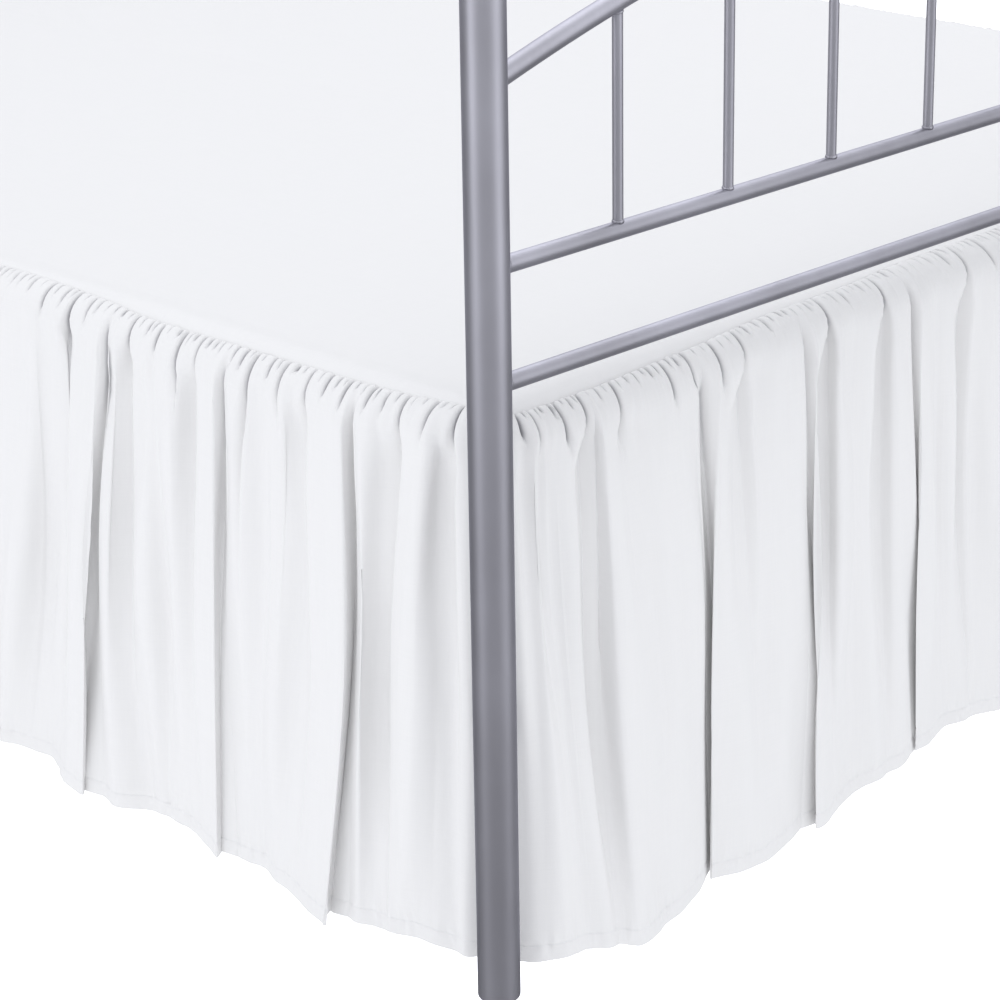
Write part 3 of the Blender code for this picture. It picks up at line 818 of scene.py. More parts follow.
def ring_tube(centres: np.ndarray, sides: np.ndarray,
              closed: bool) -> tuple[np.ndarray, list, np.ndarray]:
    """Points and faces of a tube.

    Args:
        centres: Ring of points for each step, as steps by points by three.
        sides: Distance round the tube for each point of a ring.
        closed: Whether the last ring joins the first.

    Returns:
        Points, faces and texture places.
    """
    steps, count = centres.shape[:2]
    at = np.arange(steps * count).reshape(steps, count)
    along = np.concatenate([[0.0], np.cumsum(
        np.linalg.norm(np.diff(centres.mean(axis=1), axis=0), axis=1))])
    uv = np.stack(np.broadcast_arrays(along[:, None], sides[None, :]), axis=-1)
    faces = []
    for i in range(steps if closed else steps - 1):
        here, after = at[i], at[(i + 1) % steps]
        for j in range(count):
            k = (j + 1) % count
            faces.append((int(here[j]), int(after[j]), int(after[k]), int(here[k])))
    if not closed:
        faces += [tuple(int(v) for v in at[0]), tuple(int(v) for v in at[-1][::-1])]
    return centres.reshape(-1, 3), faces, uv.reshape(-1, 2)


# Pieces of cloth -----------------------------------------------------------------------

@dataclass
class Ruffle:
    """One gathered drop panel, hemmed at its lower edge.

    Its cloth and the tuck at the seam are in metres, and its other lengths in mm.
    """

    side: Side
    bed: BedSizes
    columns: int
    seed: int
    fine_until: float = 740.0
    cloth: float = 0.0009
    hem_cloth: float = 0.0016
    hem_depth: float = 15.0
    tuck: float = 0.0016
    tuck_drop: float = 0.0013
    top_level: float = 0.075
    top_shares: tuple = (0.0, 0.03, 0.07, 0.12, 0.18, 0.25, 0.34, 0.45, 0.58, 0.72, 0.86)
    levels: tuple = (0.075, 0.095, 0.120, 0.150, 0.185, 0.225, 0.27, 0.32, 0.38, 0.45,
                     0.53, 0.61, 0.69, 0.77, 0.84, 0.895)
    hem_heights: tuple = (30.0, 22.0, 17.5, 15.0, 12.5, 8.0, 3.0, 0.0)
    drop: float = 507.0
    full_level: float = 0.61
    fold_samples: int = 40
    seam_detail: float = 0.45
    gather_detail: float = 1.25
    gather_spread: float = 1.4
    mid_step: float = 3.0
    hem_step: float = 3.4
    coarse: float = 0.55
    gather_shape: GatherShape = GatherShape()
    gather_window: float = 45.0
    roll_height: float = 2.6
    roll_reach: float = 16.0
    roll_start: float = 2.2
    puffs: Waves = Waves(0.6, (7.0, 17.0), (60.0, 220.0))
    puff_start: float = 2.0
    puff_reach: float = 38.0
    soft_folds: Waves = Waves(1.4, (26.0, 70.0), (240.0, 900.0))
    fold_start: float = 70.0
    low_share: float = 0.6
    low_reach: float = 450.0
    swells: Waves = Waves(1.9, (60.0, 150.0), (220.0, 560.0), 7)
    swell_start: float = 110.0
    line_depth: float = 0.55
    line_width: float = 1.6
    puckers: Waves = Waves(0.80, (9.0, 26.0), (25.0, 80.0))
    pucker_reach: float = 12.0
    pucker_share: float = 0.65
    pucker_change: Waves = Waves(0.45, (60.0, 190.0), count=5)
    pucker_limits: tuple = (-0.45, 0.63)
    hem_lift: Waves = Waves(0.7, (35.0, 110.0), count=7)

    @property
    def name(self) -> str:
        """Name of the piece."""
        return self.side.value + "_ruffle"

    @property
    def node(self) -> str:
        """Name of the plain solid that it stands for."""
        return "ruffle_" + self.side.value

    @property
    def gentle_side(self) -> float:
        """The side of each furrow that slopes gently: every pleat is pressed the same way."""
        return -1.0 if self.side is Side.FOOT else 1.0

    def row_levels(self) -> np.ndarray:
        """Levels of the rows below the one under the deck.

        Returns:
            The levels, 0 at the seam and 1 at the hem.
        """
        top = [share * self.top_level for share in self.top_shares]
        hem = [1.0 - height / self.drop for height in self.hem_heights]
        return np.array(top + list(self.levels) + hem)

    @staticmethod
    def fold_knots(folds: list[Fold]) -> np.ndarray:
        """Spacing of the fold lines along the cloth.

        Args:
            folds: The fold lines.

        Returns:
            A rising measure of the place of each, from 0.
        """
        knots = [0.0]
        for a, b in zip(folds, folds[1:]):
            mid = math.hypot(b.at_mid - a.at_mid, b.out_mid - a.out_mid)
            hem = math.hypot(b.at_hem - a.at_hem, b.out_hem - a.out_hem)
            knots.append(knots[-1] + math.sqrt(max(4.0, (mid + hem) / 2.0)))
        return np.array(knots)

    def column_places(self, knots: np.ndarray, folds: list[Fold],
                      gathers: list[Gather]) -> np.ndarray:
        """Places of the columns, closest where the cloth is gathered or bends most.

        Args:
            knots: The measure of each fold line's place.
            folds: The fold lines.
            gathers: The small gathers.

        Returns:
            The place of each column, in the fold lines' measure.
        """
        fine = np.linspace(0.0, knots[-1], self.fold_samples * len(knots))
        read = {name: smooth_through(knots, np.array([float(getattr(f, name)) for f in folds]),
                                     fine) for name in
                ("at_top", "at_mid", "at_hem", "out_mid", "out_hem")}
        seam_at = read["at_top"][1:]
        pinched = sum(np.exp(-((seam_at - gather.at) / self.gather_spread) ** 2)
                      for gather in gathers)
        detail = self.seam_detail + self.gather_detail * pinched
        top = np.abs(np.diff(read["at_top"])) * detail
        mid = np.hypot(np.diff(read["at_mid"]), np.diff(read["out_mid"])) / self.mid_step
        hem = np.hypot(np.diff(read["at_hem"]), np.diff(read["out_hem"])) / self.hem_step
        shown = np.where(seam_at < self.fine_until, 1.0, self.coarse)
        steps = np.maximum(np.maximum(top, mid), hem) * shown
        measure = np.concatenate([[0.0], np.cumsum(steps)])
        wanted = np.linspace(0.0, measure[-1], self.columns)
        return np.interp(wanted, measure, fine)

    def hanging_shape(self, folds: list[Fold], gathers: list[Gather],
                      path: SeamPath) -> tuple[np.ndarray, np.ndarray]:
        """The cloth as its folds hang, before the small gathers.

        Args:
            folds: The fold lines.
            gathers: The small gathers, for which it leaves enough columns.
            path: The seam.

        Returns:
            Middle points, a row for each level, and each column's place on the seam (mm).
        """
        knots = self.fold_knots(folds)
        at = self.column_places(knots, folds, gathers)

        def line(values: list, rising: bool = False) -> np.ndarray:
            """One curve along the cloth through a value for each fold."""
            return smooth_through(knots, np.array(values, dtype=float), at, rising)

        runs = (line([f.at_top for f in folds], rising=True), line([f.at_mid for f in folds]),
                line([f.at_hem for f in folds]))
        outs = (line([f.kind.value for f in folds]), line([f.out_mid for f in folds]),
                line([f.out_hem for f in folds]))
        lift = np.interp(at, knots, [f.lift for f in folds])
        lift = (lift + self.hem_lift.at(random.Random(self.seed + 100), runs[2])) * MM
        run = runs[0] * MM
        rows = [path.world(run, *path.over_edge(path.turn(run) - self.tuck / path.radius,
                                                -self.tuck_drop))]
        for level in self.row_levels():
            run, out = (self.at_level(*three, level) * MM for three in (runs, outs))
            turn = path.turn(run) + path.seam_gap / path.radius
            seam_out, seam_z = path.over_edge(turn, -0.4 * self.tuck_drop)
            fall = np.full_like(run, level)
            if level < self.top_level:
                share = level / self.top_level
                even = CREST.value * MM
                out = blend(seam_out, even, math.sin(math.pi / 2.0 * share)) \
                    + (out - even) * share * share
                fall = self.top_level * share ** (1.0 + np.cos(turn))
            rows.append(path.world(run, out, blend(seam_z, lift, fall)))
        return np.stack(rows), runs[0]

    def at_level(self, top: np.ndarray, mid: np.ndarray, hem: np.ndarray,
                 level: float) -> np.ndarray:
        """A value at a level of the cloth.

        Args:
            top: Its values just below the gathers.
            mid: Its values half-way down.
            hem: Its values at the hem.
            level: The level, 0 at the seam and 1 at the hem.

        Returns:
            The values there.
        """
        if level <= self.top_level:
            return top
        slope = (hem - top) / (1.0 - self.top_level)
        if level < 0.5:
            step = 0.5 - self.top_level
            return cubic(top, mid, mid - top, slope * step, (level - self.top_level) / step)
        return cubic(mid, hem, slope * 0.5, hem - mid, (level - 0.5) / 0.5)

    def relief(self, gathers: list[Gather], seam_at: np.ndarray, below: np.ndarray,
               along: np.ndarray) -> tuple[np.ndarray, np.ndarray]:
        """Small shapes of the cloth, as a height over its hanging shape (mm).

        Args:
            gathers: The pinches below the seam.
            seam_at: Place on the seam of each column.
            below: Distance of each row below the seam.
            along: Distance of each column along the cloth, from its start.

        Returns:
            A height for each point, and how far it is drawn along the cloth.
        """
        height = np.zeros((len(below), len(seam_at)))
        aside = np.zeros_like(height)
        for gather in gathers:
            middle = seam_at[np.abs(seam_at - gather.at).argmin()]
            near = np.abs(seam_at - middle) < self.gather_window
            deep, pull = self.gather_shape.pressed(gather, (seam_at[near] - middle)[None, :],
                                                   below, self.gentle_side)
            height[:, near] -= deep
            aside[:, near] -= pull
        rng = random.Random(self.seed)
        level = below[:, None]
        rolled = np.exp(-level / self.roll_reach) - np.exp(-level / self.roll_start)
        height += self.roll_height * rolled * (level > 0.0)
        puffs = self.puffs.at(rng, seam_at[None, :], level)
        height += puffs * ease(level / self.puff_start) * np.exp(-level / self.puff_reach)
        kept = blend(1.0, self.low_share, ease(level / self.low_reach))
        soft = self.soft_folds.at(rng, along[None, :], level)
        height += soft * ease(level / self.fold_start) * kept
        swells = self.swells.at(rng, along[None, :], level)
        return height + swells * ease(level / self.swell_start), aside

    def hem_relief(self, above: np.ndarray, along: np.ndarray) -> np.ndarray:
        """The sewn-down line of the hem and its small puckers (mm).

        Args:
            above: Distance of each row above the hem's edge.
            along: Distance of each column along the cloth.

        Returns:
            A height for each point.
        """
        rng = random.Random(self.seed + 7)
        from_line = above[:, None] - self.hem_depth
        puckers = self.puckers.at(rng, along[None, :], above[:, None])
        change = self.pucker_change.at(rng, along[None, :])
        strength = self.pucker_share + np.clip(change, *self.pucker_limits)
        sunk = -self.line_depth * np.exp(-(from_line / self.line_width) ** 2)
        return sunk + strength * puckers * np.exp(-(from_line / self.pucker_reach) ** 2)

    def build(self, material: bpy.types.Material) -> bpy.types.Object:
        """Args:
            material: Its cloth.

        Returns:
            The piece.
        """
        path = SeamPath(self.side, self.bed)
        folds = FoldPlan(self.side, path.length).lines()
        gathers = GatherPlan(self.side, path.length, self.seed).gathers(folds)
        middle, seam_at = self.hanging_shape(folds, gathers, path)
        drops = np.linalg.norm(np.diff(middle, axis=0), axis=2)
        below = (np.concatenate([[0.0], np.cumsum(drops.mean(axis=1))]) - self.tuck) / MM
        full_row = np.abs(self.row_levels() - self.full_level).argmin() + 1
        steps = np.linalg.norm(np.diff(middle[full_row], axis=0), axis=1)
        along = np.concatenate([[0.0], np.cumsum(steps)]) / MM
        above = below[-1] - below
        height, aside = self.relief(gathers, seam_at, below, along)
        height += self.hem_relief(above, along)
        across = headings(middle, 1)
        downward = headings(middle, 0)
        outward = unit(np.cross(downward, across))
        if self.side is Side.LEFT:
            outward = -outward
        middle = middle + (outward * height[..., None] + unit(across) * aside[..., None]) * MM
        normals = unit(np.cross(headings(middle, 0), headings(middle, 1)))
        hemmed = 1.0 - ease((above - self.hem_depth + 1.0) / 2.0)
        thickness = blend(self.cloth, self.hem_cloth, hemmed)[:, None] + 0.0 * height
        uv = np.stack(np.broadcast_arrays(along[None, :] * MM, above[:, None] * MM), axis=-1)
        mesh = ClothMesh(self.name, middle, normals, thickness, uv).build()
        piece = add_piece(self.name, mesh, material)
        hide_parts(self.node)
        return piece


@dataclass
class Deck:
    """The platform sheet that lies on the box spring and turns over its edges.

    Its sizes are in metres, but the height of its swell, the drags and all waves in mm.
    """

    bed: BedSizes
    spacing: float = 0.007
    corner_steps: int = 9
    edge_shares: tuple = (1.0, 0.94, 0.86, 0.74, 0.6, 0.45, 0.3, 0.15, 0.0)
    border_shares: tuple = (0.85, 0.65, 0.4, 0.2, 0.0)
    inner_shares: tuple = (0.008, 0.018, 0.032, 0.05, 0.072, 0.1, 0.13, 0.17, 0.21, 0.26,
                           0.31, 0.37, 0.43, 0.5, 0.57, 0.64, 0.71, 0.78, 0.85, 0.92, 0.97, 1.0)
    seed: int = 5
    seam_tuck: float = 0.0005
    tuck_from: float = 0.86
    pulls: Waves = Waves(0.28, (24.0, 60.0))
    pull_kept: float = 0.25
    drags: Waves = Waves(0.30, (18.0, 48.0), (90.0, 260.0))
    drag_slant: float = 0.7
    drag_start: float = 8.0
    drag_reach: float = 45.0
    swell_height: float = 0.55
    swell_from: float = 0.03
    swell_over: float = 0.10
    broad: Waves = Waves(0.40, (150.0, 420.0), (180.0, 600.0))
    crossing: Waves = Waves(0.20, (90.0, 260.0), (200.0, 700.0))
    wave_limits: tuple = (-0.52, 1.0)

    def stations(self) -> list:
        """Lines that run in from the seam, from head to head.

        Returns:
            Side and place of each.
        """
        bed = self.bed
        corner = [bed.arc * i / self.corner_steps for i in range(self.corner_steps)]
        side_length = bed.run_length(Side.LEFT) + bed.deck_head_y - bed.ruffle_head_y
        count = round((side_length - bed.arc) / self.spacing)
        side = corner + list(np.linspace(bed.arc, side_length, count))
        foot_length = bed.run_length(Side.FOOT)
        count = round((foot_length - 2.0 * bed.arc) / self.spacing)
        foot = corner[1:] + list(np.linspace(bed.arc, foot_length - bed.arc, count))
        foot += [foot_length - run for run in reversed(corner[1:])]
        return ([(Side.LEFT, run) for run in reversed(side)]
                + [(Side.FOOT, run) for run in foot] + [(Side.RIGHT, run) for run in side])

    def section(self, side: Side, run: float, pull: float) -> np.ndarray:
        """Points of one line, from the seam in to the flat of the bed.

        Args:
            side: Side of the bed.
            run: Place along its seam.
            pull: How much a gather draws the sheet down there, in metres.

        Returns:
            Middle points of the sheet.
        """
        bed, path = self.bed, SeamPath(side, self.bed)
        turn = float(path.turn(np.array([run]))[0])
        points = []
        for share in self.edge_shares:
            tucked = max(0.0, (share - self.tuck_from) / (1.0 - self.tuck_from))
            sunk = -self.seam_tuck * tucked ** 2
            out, z = path.over_edge(turn * share, sunk + pull * share * share)
            points.append((out, z))
        flat = bed.box_top + bed.touch + bed.deck_thickness / 2.0
        rise = bed.edge_clearance - bed.touch
        for share in self.border_shares:
            out = -bed.top_radius - bed.deck_border * (1.0 - share)
            points.append((out, flat + rise * float(ease(share))
                           + pull * self.pull_kept * share))
        outs, heights = np.array(points).T
        return path.world(np.full(len(points), run), outs, heights)

    def build(self, material: bpy.types.Material) -> bpy.types.Object:
        """Args:
            material: Its cloth.

        Returns:
            The piece.
        """
        rng = random.Random(self.seed)
        places = self.stations()
        travelled = np.arange(len(places)) * self.spacing / MM
        pulls = self.pulls.at(rng, travelled) * MM
        edges = np.stack([self.section(side, run, pull)
                          for (side, run), pull in zip(places, pulls)])
        inner = edges[:, -1]
        lowest = -self.bed.length / 2.0 + self.bed.width / 2.0
        goals = inner.copy()
        goals[:, 0] = 0.0
        goals[:, 1] = np.maximum(inner[:, 1], lowest)
        shares = np.array(self.inner_shares)[None, :, None]
        fan = blend(inner[:, None, :], goals[:, None, :], shares)
        middle = np.concatenate([edges, fan], axis=1)
        x, y = middle[..., 0] / MM, middle[..., 1] / MM
        inside = np.minimum(self.bed.width / 2.0 - np.abs(middle[..., 0]),
                            middle[..., 1] + self.bed.length / 2.0)
        waves = self.broad.at(rng, x, y)
        waves += self.crossing.at(rng, y, x)
        risen = self.swell_height + np.clip(waves, *self.wave_limits)
        middle[..., 2] += ease((inside - self.swell_from) / self.swell_over) * risen * MM
        from_seam = inside / MM
        drags = self.drags.at(rng, travelled[:, None] + self.drag_slant * from_seam, from_seam)
        near_seam = np.exp(-from_seam / self.drag_reach) * ease(from_seam / self.drag_start)
        middle[..., 2] += drags * near_seam * MM
        normals = unit(np.cross(headings(middle, 1), headings(middle, 0)))
        normals[:, -1] = (0.0, 0.0, 1.0)
        thickness = np.full(middle.shape[:2], self.bed.deck_thickness)
        mesh = ClothMesh("deck_sheet", middle, normals, thickness, middle[..., :2].copy(),
                         joined_at_last=True).build()
        self.weld(mesh)
        piece = add_piece("deck_sheet", mesh, material)
        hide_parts("deck")
        return piece

    @staticmethod
    def weld(mesh: bpy.types.Mesh, within: float = 0.00002) -> None:
        """Joins the points of the sheet's left and right halves along its middle.

        Args:
            mesh: Mesh of the sheet.
            within: How close two points are that become one.
        """
        work = bmesh.new()
        work.from_mesh(mesh)
        near = [v for v in work.verts if abs(v.co.x) < 0.0005]
        bmesh.ops.remove_doubles(work, verts=near, dist=within)
        work.to_mesh(mesh)
        work.free()


@dataclass
class BoxSpring:
    """The covered base: a boarded box with a corded seam near its top and bottom."""

    bed: BedSizes
    bottom_radius: float = 0.010
    cord_radius: float = 0.0032
    top_cord_drop: float = 0.034
    bottom_cord_rise: float = 0.018
    bulge: float = 0.0022
    unevenness: Waves = Waves(0.5, (260.0, 900.0), count=5)
    cord_hold: float = 0.02
    side_steps: int = 44
    corner_steps: int = 9
    bottom_rows: int = 6
    wall_rows: int = 15
    top_rows: int = 9
    point_pitch: float = 40.0
    cord_sides: int = 8
    seed: int = 3

    def outline(self, inset: float) -> np.ndarray:
        """Plan of the box, anticlockwise.

        Args:
            inset: How far it is drawn in.

        Returns:
            The x and y of each point.
        """
        bed, radius = self.bed, self.bed.plan_radius
        centres = [np.array((x * (bed.width / 2.0 - radius), y * (bed.length / 2.0 - radius)))
                   for x, y in ((1, 1), (-1, 1), (-1, -1), (1, -1))]
        points = []
        for quarter, (centre, after) in enumerate(zip(centres, centres[1:] + centres[:1])):
            angles = [math.pi / 2.0 * (quarter + i / self.corner_steps)
                      for i in range(self.corner_steps + 1)]
            arms = [(radius - inset) * np.array((math.cos(angle), math.sin(angle)))
                    for angle in angles]
            points += [centre + arm for arm in arms]
            points += [blend(centre + arms[-1], after + arms[-1], i / self.side_steps)
                       for i in range(1, self.side_steps)]
        return np.array(points)

    def build(self, ticking: bpy.types.Material) -> bpy.types.Object:
        """Builds the cover and its two cords.

        Args:
            ticking: Its cloth.

        Returns:
            The cover.
        """
        bed = self.bed
        low, high = bed.box_bottom, bed.box_top
        cords = (low + self.bottom_cord_rise, high - self.top_cord_drop)
        profile = [(self.bottom_radius * (1.0 - math.sin(turn)),
                    low + self.bottom_radius * (1.0 - math.cos(turn)))
                   for turn in np.linspace(0.0, math.pi / 2.0, self.bottom_rows)]
        profile += [(0.0, blend(low + self.bottom_radius, high - bed.top_radius, share))
                    for share in np.linspace(0.0, 1.0, self.wall_rows)[1:-1]]
        profile += [(bed.top_radius * (1.0 - math.cos(turn)),
                     high - bed.top_radius * (1.0 - math.sin(turn)))
                    for turn in np.linspace(0.0, math.pi / 2.0, self.top_rows)]
        rng = random.Random(self.seed)
        rings = []
        for inset, z in profile:
            plan = self.outline(inset)
            travelled = np.arange(len(plan)) * self.point_pitch
            between = max(0.0, math.sin(math.pi * (z - cords[0]) / (cords[1] - cords[0])))
            nearest = min(abs(z - cord) for cord in cords)
            free = float(ease(nearest / self.cord_hold))
            stand = between * free * (self.bulge + self.unevenness.at(rng, travelled) * MM)
            heading = unit(np.roll(plan, -1, axis=0) - np.roll(plan, 1, axis=0))
            plan = plan + np.stack([heading[:, 1], -heading[:, 0]], axis=1) * stand[:, None]
            rings.append(np.column_stack([plan, np.full(len(plan), z)]))
        points = np.stack(rings)
        steps = np.linalg.norm(np.diff(points[8], axis=0), axis=1)
        around = np.concatenate([[0.0], np.cumsum(steps)])
        flat, faces, _ = ring_tube(points, around, closed=False)
        faces = [tuple(reversed(face)) for face in faces]
        uv = np.stack(np.broadcast_arrays(around[None, :], points[..., 2]), axis=-1)
        mesh = mesh_from("box_spring_cover", flat, faces, uv.reshape(-1, 2))
        cover = add_piece("box_spring_cover", mesh, ticking)
        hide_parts("box_spring")
        for name, z in zip(("bottom", "top"), cords):
            self.cord("box_spring_%s_cord" % name, z, ticking)
        return cover

    def cord(self, name: str, z: float, material: bpy.types.Material) -> bpy.types.Object:
        """One covered cord sewn round the box.

        Args:
            name: Name of the piece.
            z: Its height.
            material: Its cloth.

        Returns:
            The piece.
        """
        plan = self.outline(0.0)
        heading = unit(np.roll(plan, -1, axis=0) - np.roll(plan, 1, axis=0))
        outward = np.stack([heading[:, 1], -heading[:, 0]], axis=1)
        turns = np.linspace(0.0, 2.0 * math.pi, self.cord_sides, endpoint=False)
        rings = []
        for point, out in zip(plan, outward):
            offsets = np.cos(turns)[:, None] * out[None, :] * self.cord_radius
            rings.append(np.column_stack([point[None, :] + offsets,
                                          z + np.sin(turns) * self.cord_radius]))
        points, faces, uv = ring_tube(np.stack(rings), turns * self.cord_radius, closed=True)
        piece = add_piece(name, mesh_from(name, points, faces, uv), material)
        return piece


# Metal and wood ------------------------------------------------------------------------

@dataclass(frozen=True)
class BedEnd:
    """The tubes of one end of the bed: two posts, two rails, an arch and its spindles."""

    name: str
    y: float
    post_top: float
    low_rail: float
    mid_rail: float
    arch_end: float
    post_x: float = 0.809
    post_radius: float = 0.01905
    rail_radius: float = 0.008
    arch_radius: float = 0.009
    spindle_radius: float = 0.00475
    spindle_pitch: float = 0.14435
    spindle_count: int = 10
    arch_turn: float = 17.74
    post_dome: float = 0.012
    post_foot: float = 0.003
    bead: float = 0.0011
    bead_steps: int = 24
    bead_sides: int = 7

    def arch_line(self, x: Number) -> tuple[Number, Number]:
        """The arch's middle line.

        Args:
            x: Places across the bed.

        Returns:
            Its height and its lean, in radians, at those places.
        """
        radius = self.post_x / math.sin(math.radians(self.arch_turn))
        fall = np.sqrt(radius * radius - x * x)
        return self.arch_end - radius * math.cos(math.radians(self.arch_turn)) + fall, \
            np.arctan(-x / fall)

    @staticmethod
    def circle(radius: float, sides: int) -> tuple[np.ndarray, np.ndarray]:
        """Two offsets of each point of a ring."""
        turns = np.linspace(0.0, 2.0 * math.pi, sides, endpoint=False)
        return radius * np.cos(turns), radius * np.sin(turns)

    @staticmethod
    def stand_off(distance: np.ndarray, radius: float) -> np.ndarray:
        """How far the end of a tube stands off the middle of the tube that it meets."""
        return np.sqrt(np.maximum(0.0, radius * radius - distance * distance))

    def tube(self, part: str, rings: np.ndarray,
             steel: bpy.types.Material) -> bpy.types.Object:
        """One tube from its rings of points.

        Args:
            part: Which tube it is.
            rings: Its points, as steps by points by three.
            steel: Its finish.

        Returns:
            The piece.
        """
        around = np.arange(rings.shape[1]) * MM
        points, faces, uv = ring_tube(rings, around, closed=False)
        name = "%s_%s" % (self.name, part)
        piece = add_piece(name + "_tube", mesh_from(name, points, faces, uv), steel, 40.0)
        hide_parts(name)
        return piece

    def post(self, side: float) -> np.ndarray:
        """Rings of a post with a softly domed top and a rounded foot.

        Args:
            side: -1 for the left post and 1 for the right.

        Returns:
            The points, as steps by points by three.
        """
        turns = np.linspace(0.0, math.pi / 2.0, 9)
        foot = [(self.post_radius - self.post_foot * (1.0 - math.sin(t)),
                 self.post_foot * (1.0 - math.cos(t))) for t in turns]
        dome = [(self.post_radius * math.cos(t),
                 self.post_top - self.post_dome * (1.0 - math.sin(t))) for t in turns[:-1]]
        dx, dy = self.circle(1.0, 56)
        return np.stack([np.stack([side * self.post_x + radius * dx, self.y + radius * dy,
                                   np.full_like(dx, z)], axis=-1) for radius, z in foot + dome])

    def rail(self, z: float) -> np.ndarray:
        """Rings of a straight rail, its ends shaped to the posts.

        Args:
            z: Its height.

        Returns:
            The points, as steps by points by three.
        """
        dy, dz = self.circle(self.rail_radius, 36)
        reach = self.post_x - self.stand_off(dy, self.post_radius)
        return np.stack([np.stack([share * reach, self.y + dy, z + dz], axis=-1)
                         for share in np.linspace(-1.0, 1.0, 25)])

    def arch(self) -> np.ndarray:
        """Rings of the arch, its ends shaped to the posts.

        Returns:
            The points, as steps by points by three.
        """
        dy, dn = self.circle(self.arch_radius, 36)
        rings = []
        for share in np.linspace(-1.0, 1.0, 65):
            x = share * (self.post_x - self.stand_off(dy, self.post_radius))
            z, lean = self.arch_line(x)
            inside = abs(share) < 1.0
            rings.append(np.stack([x - dn * np.sin(lean) * inside, self.y + dy,
                                   z + dn * np.cos(lean) ** (1.0 if inside else -1.0)], axis=-1))
        return np.stack(rings)

    def spindle(self, x: float) -> np.ndarray:
        """Rings of a spindle, its ends shaped to the rail and the arch.

        Args:
            x: Its place across the bed.

        Returns:
            The points, as steps by points by three.
        """
        dy, dx = self.circle(self.spindle_radius, 24)
        low = self.mid_rail + self.stand_off(dy, self.rail_radius)
        z, lean = self.arch_line(x + dx)
        high = z - self.stand_off(dy, self.arch_radius) / np.cos(lean)
        return np.stack([np.stack([x + dx, self.y + dy, blend(low, high, share)], axis=-1)
                         for share in np.linspace(0.0, 1.0, 9)])

    def bead_rings(self, centre: tuple, axis: tuple, radius: float,
                   rng: random.Random) -> np.ndarray:
        """Rings of points of one weld bead.

        Args:
            centre: Middle of the bar where it ends.
            axis: Direction of the bar.
            radius: Radius of the bar.
            rng: Source of the bead's unevenness.

        Returns:
            The points, as steps by points by three.
        """
        axis = Vector(axis)
        side = axis.orthogonal().normalized()
        other = axis.cross(side)
        rings = []
        angles = np.linspace(0.0, 2.0 * math.pi, self.bead_sides, endpoint=False)
        for turn in np.linspace(0.0, 2.0 * math.pi, self.bead_steps, endpoint=False):
            out = side * math.cos(turn) + other * math.sin(turn)
            size = self.bead * rng.uniform(0.75, 1.25)
            rings.append([tuple(Vector(centre) + out * (radius + size * 0.8 * math.cos(angle))
                                + axis * (size * 1.3 * math.sin(angle)))
                          for angle in angles])
        return np.array(rings)

    def welds(self, steel: bpy.types.Material) -> bpy.types.Object:
        """Beads where spindles meet rail and arch, and where cross pieces meet the posts.

        Args:
            steel: Their finish.

        Returns:
            The piece.
        """
        joints = []
        for x in self.spindle_places():
            high, lean = self.arch_line(x)
            joints.append(((x, self.y, self.mid_rail + self.rail_radius), (0, 0, 1),
                           self.spindle_radius))
            joints.append(((x, self.y, float(high - self.arch_radius / math.cos(lean))),
                           (math.sin(lean), 0, -math.cos(lean)), self.spindle_radius))
        reach = self.post_x - self.post_radius
        for side in (-1.0, 1.0):
            joints += [((side * reach, self.y, z), (1, 0, 0), self.rail_radius)
                       for z in (self.low_rail, self.mid_rail)]
        rng = random.Random(self.name)
        points, faces, uv, total = [], [], [], 0
        for centre, axis, radius in joints:
            found = ring_tube(self.bead_rings(centre, axis, radius, rng),
                              np.arange(self.bead_sides) * self.bead, closed=True)
            points.append(found[0])
            faces += [tuple(v + total for v in face) for face in found[1]]
            uv.append(found[2])
            total += len(found[0])
        name = self.name + "_welds"
        mesh = mesh_from(name, np.concatenate(points), faces, np.concatenate(uv))
        return add_piece(name, mesh, steel)

    def spindle_places(self) -> np.ndarray:
        """Places of the spindles across the bed."""
        return (np.arange(self.spindle_count) - (self.spindle_count - 1) / 2.0) \
            * self.spindle_pitch

    def build(self, steel: bpy.types.Material) -> None:
        """Builds every tube and weld of this end.

        Args:
            steel: Their finish.
        """
        self.tube("post_left", self.post(-1.0), steel)
        self.tube("post_right", self.post(1.0), steel)
        self.tube("low_rail", self.rail(self.low_rail), steel)
        self.tube("mid_rail", self.rail(self.mid_rail), steel)
        self.tube("arch", self.arch(), steel)
        for index, x in enumerate(self.spindle_places()):
            self.tube("spindle_%02d" % (index + 1), self.spindle(x), steel)
        self.welds(steel)


@dataclass(frozen=True)
class MetalBed:
    """The bed frame: a tube end at foot and head, and the solids between them."""

    ends: tuple = (BedEnd("foot", -1.063, 0.930, 0.5697, 0.6718, 0.8240),
                   BedEnd("head", 1.0841, 1.180, 0.6000, 0.8450, 1.0550))

    def build(self, frame: dict, steel: bpy.types.Material, wood: bpy.types.Material) -> None:
        """Builds the ends, and gives rails, brackets and slats their finishes.

        Args:
            steel: Finish of the metal.
            wood: Finish of the slats.
        """
        for end in self.ends:
            end.build(steel)
        for name, node in frame["nodes"].items():
            if name.startswith(("side_rail", "bracket", "slat")):
                material = wood if name.startswith("slat") else steel
                for slot in node.material_slots:
                    slot.material = material
                LOG.info("%s: %s", name, material.name)


# Finishes ------------------------------------------------------------------------------

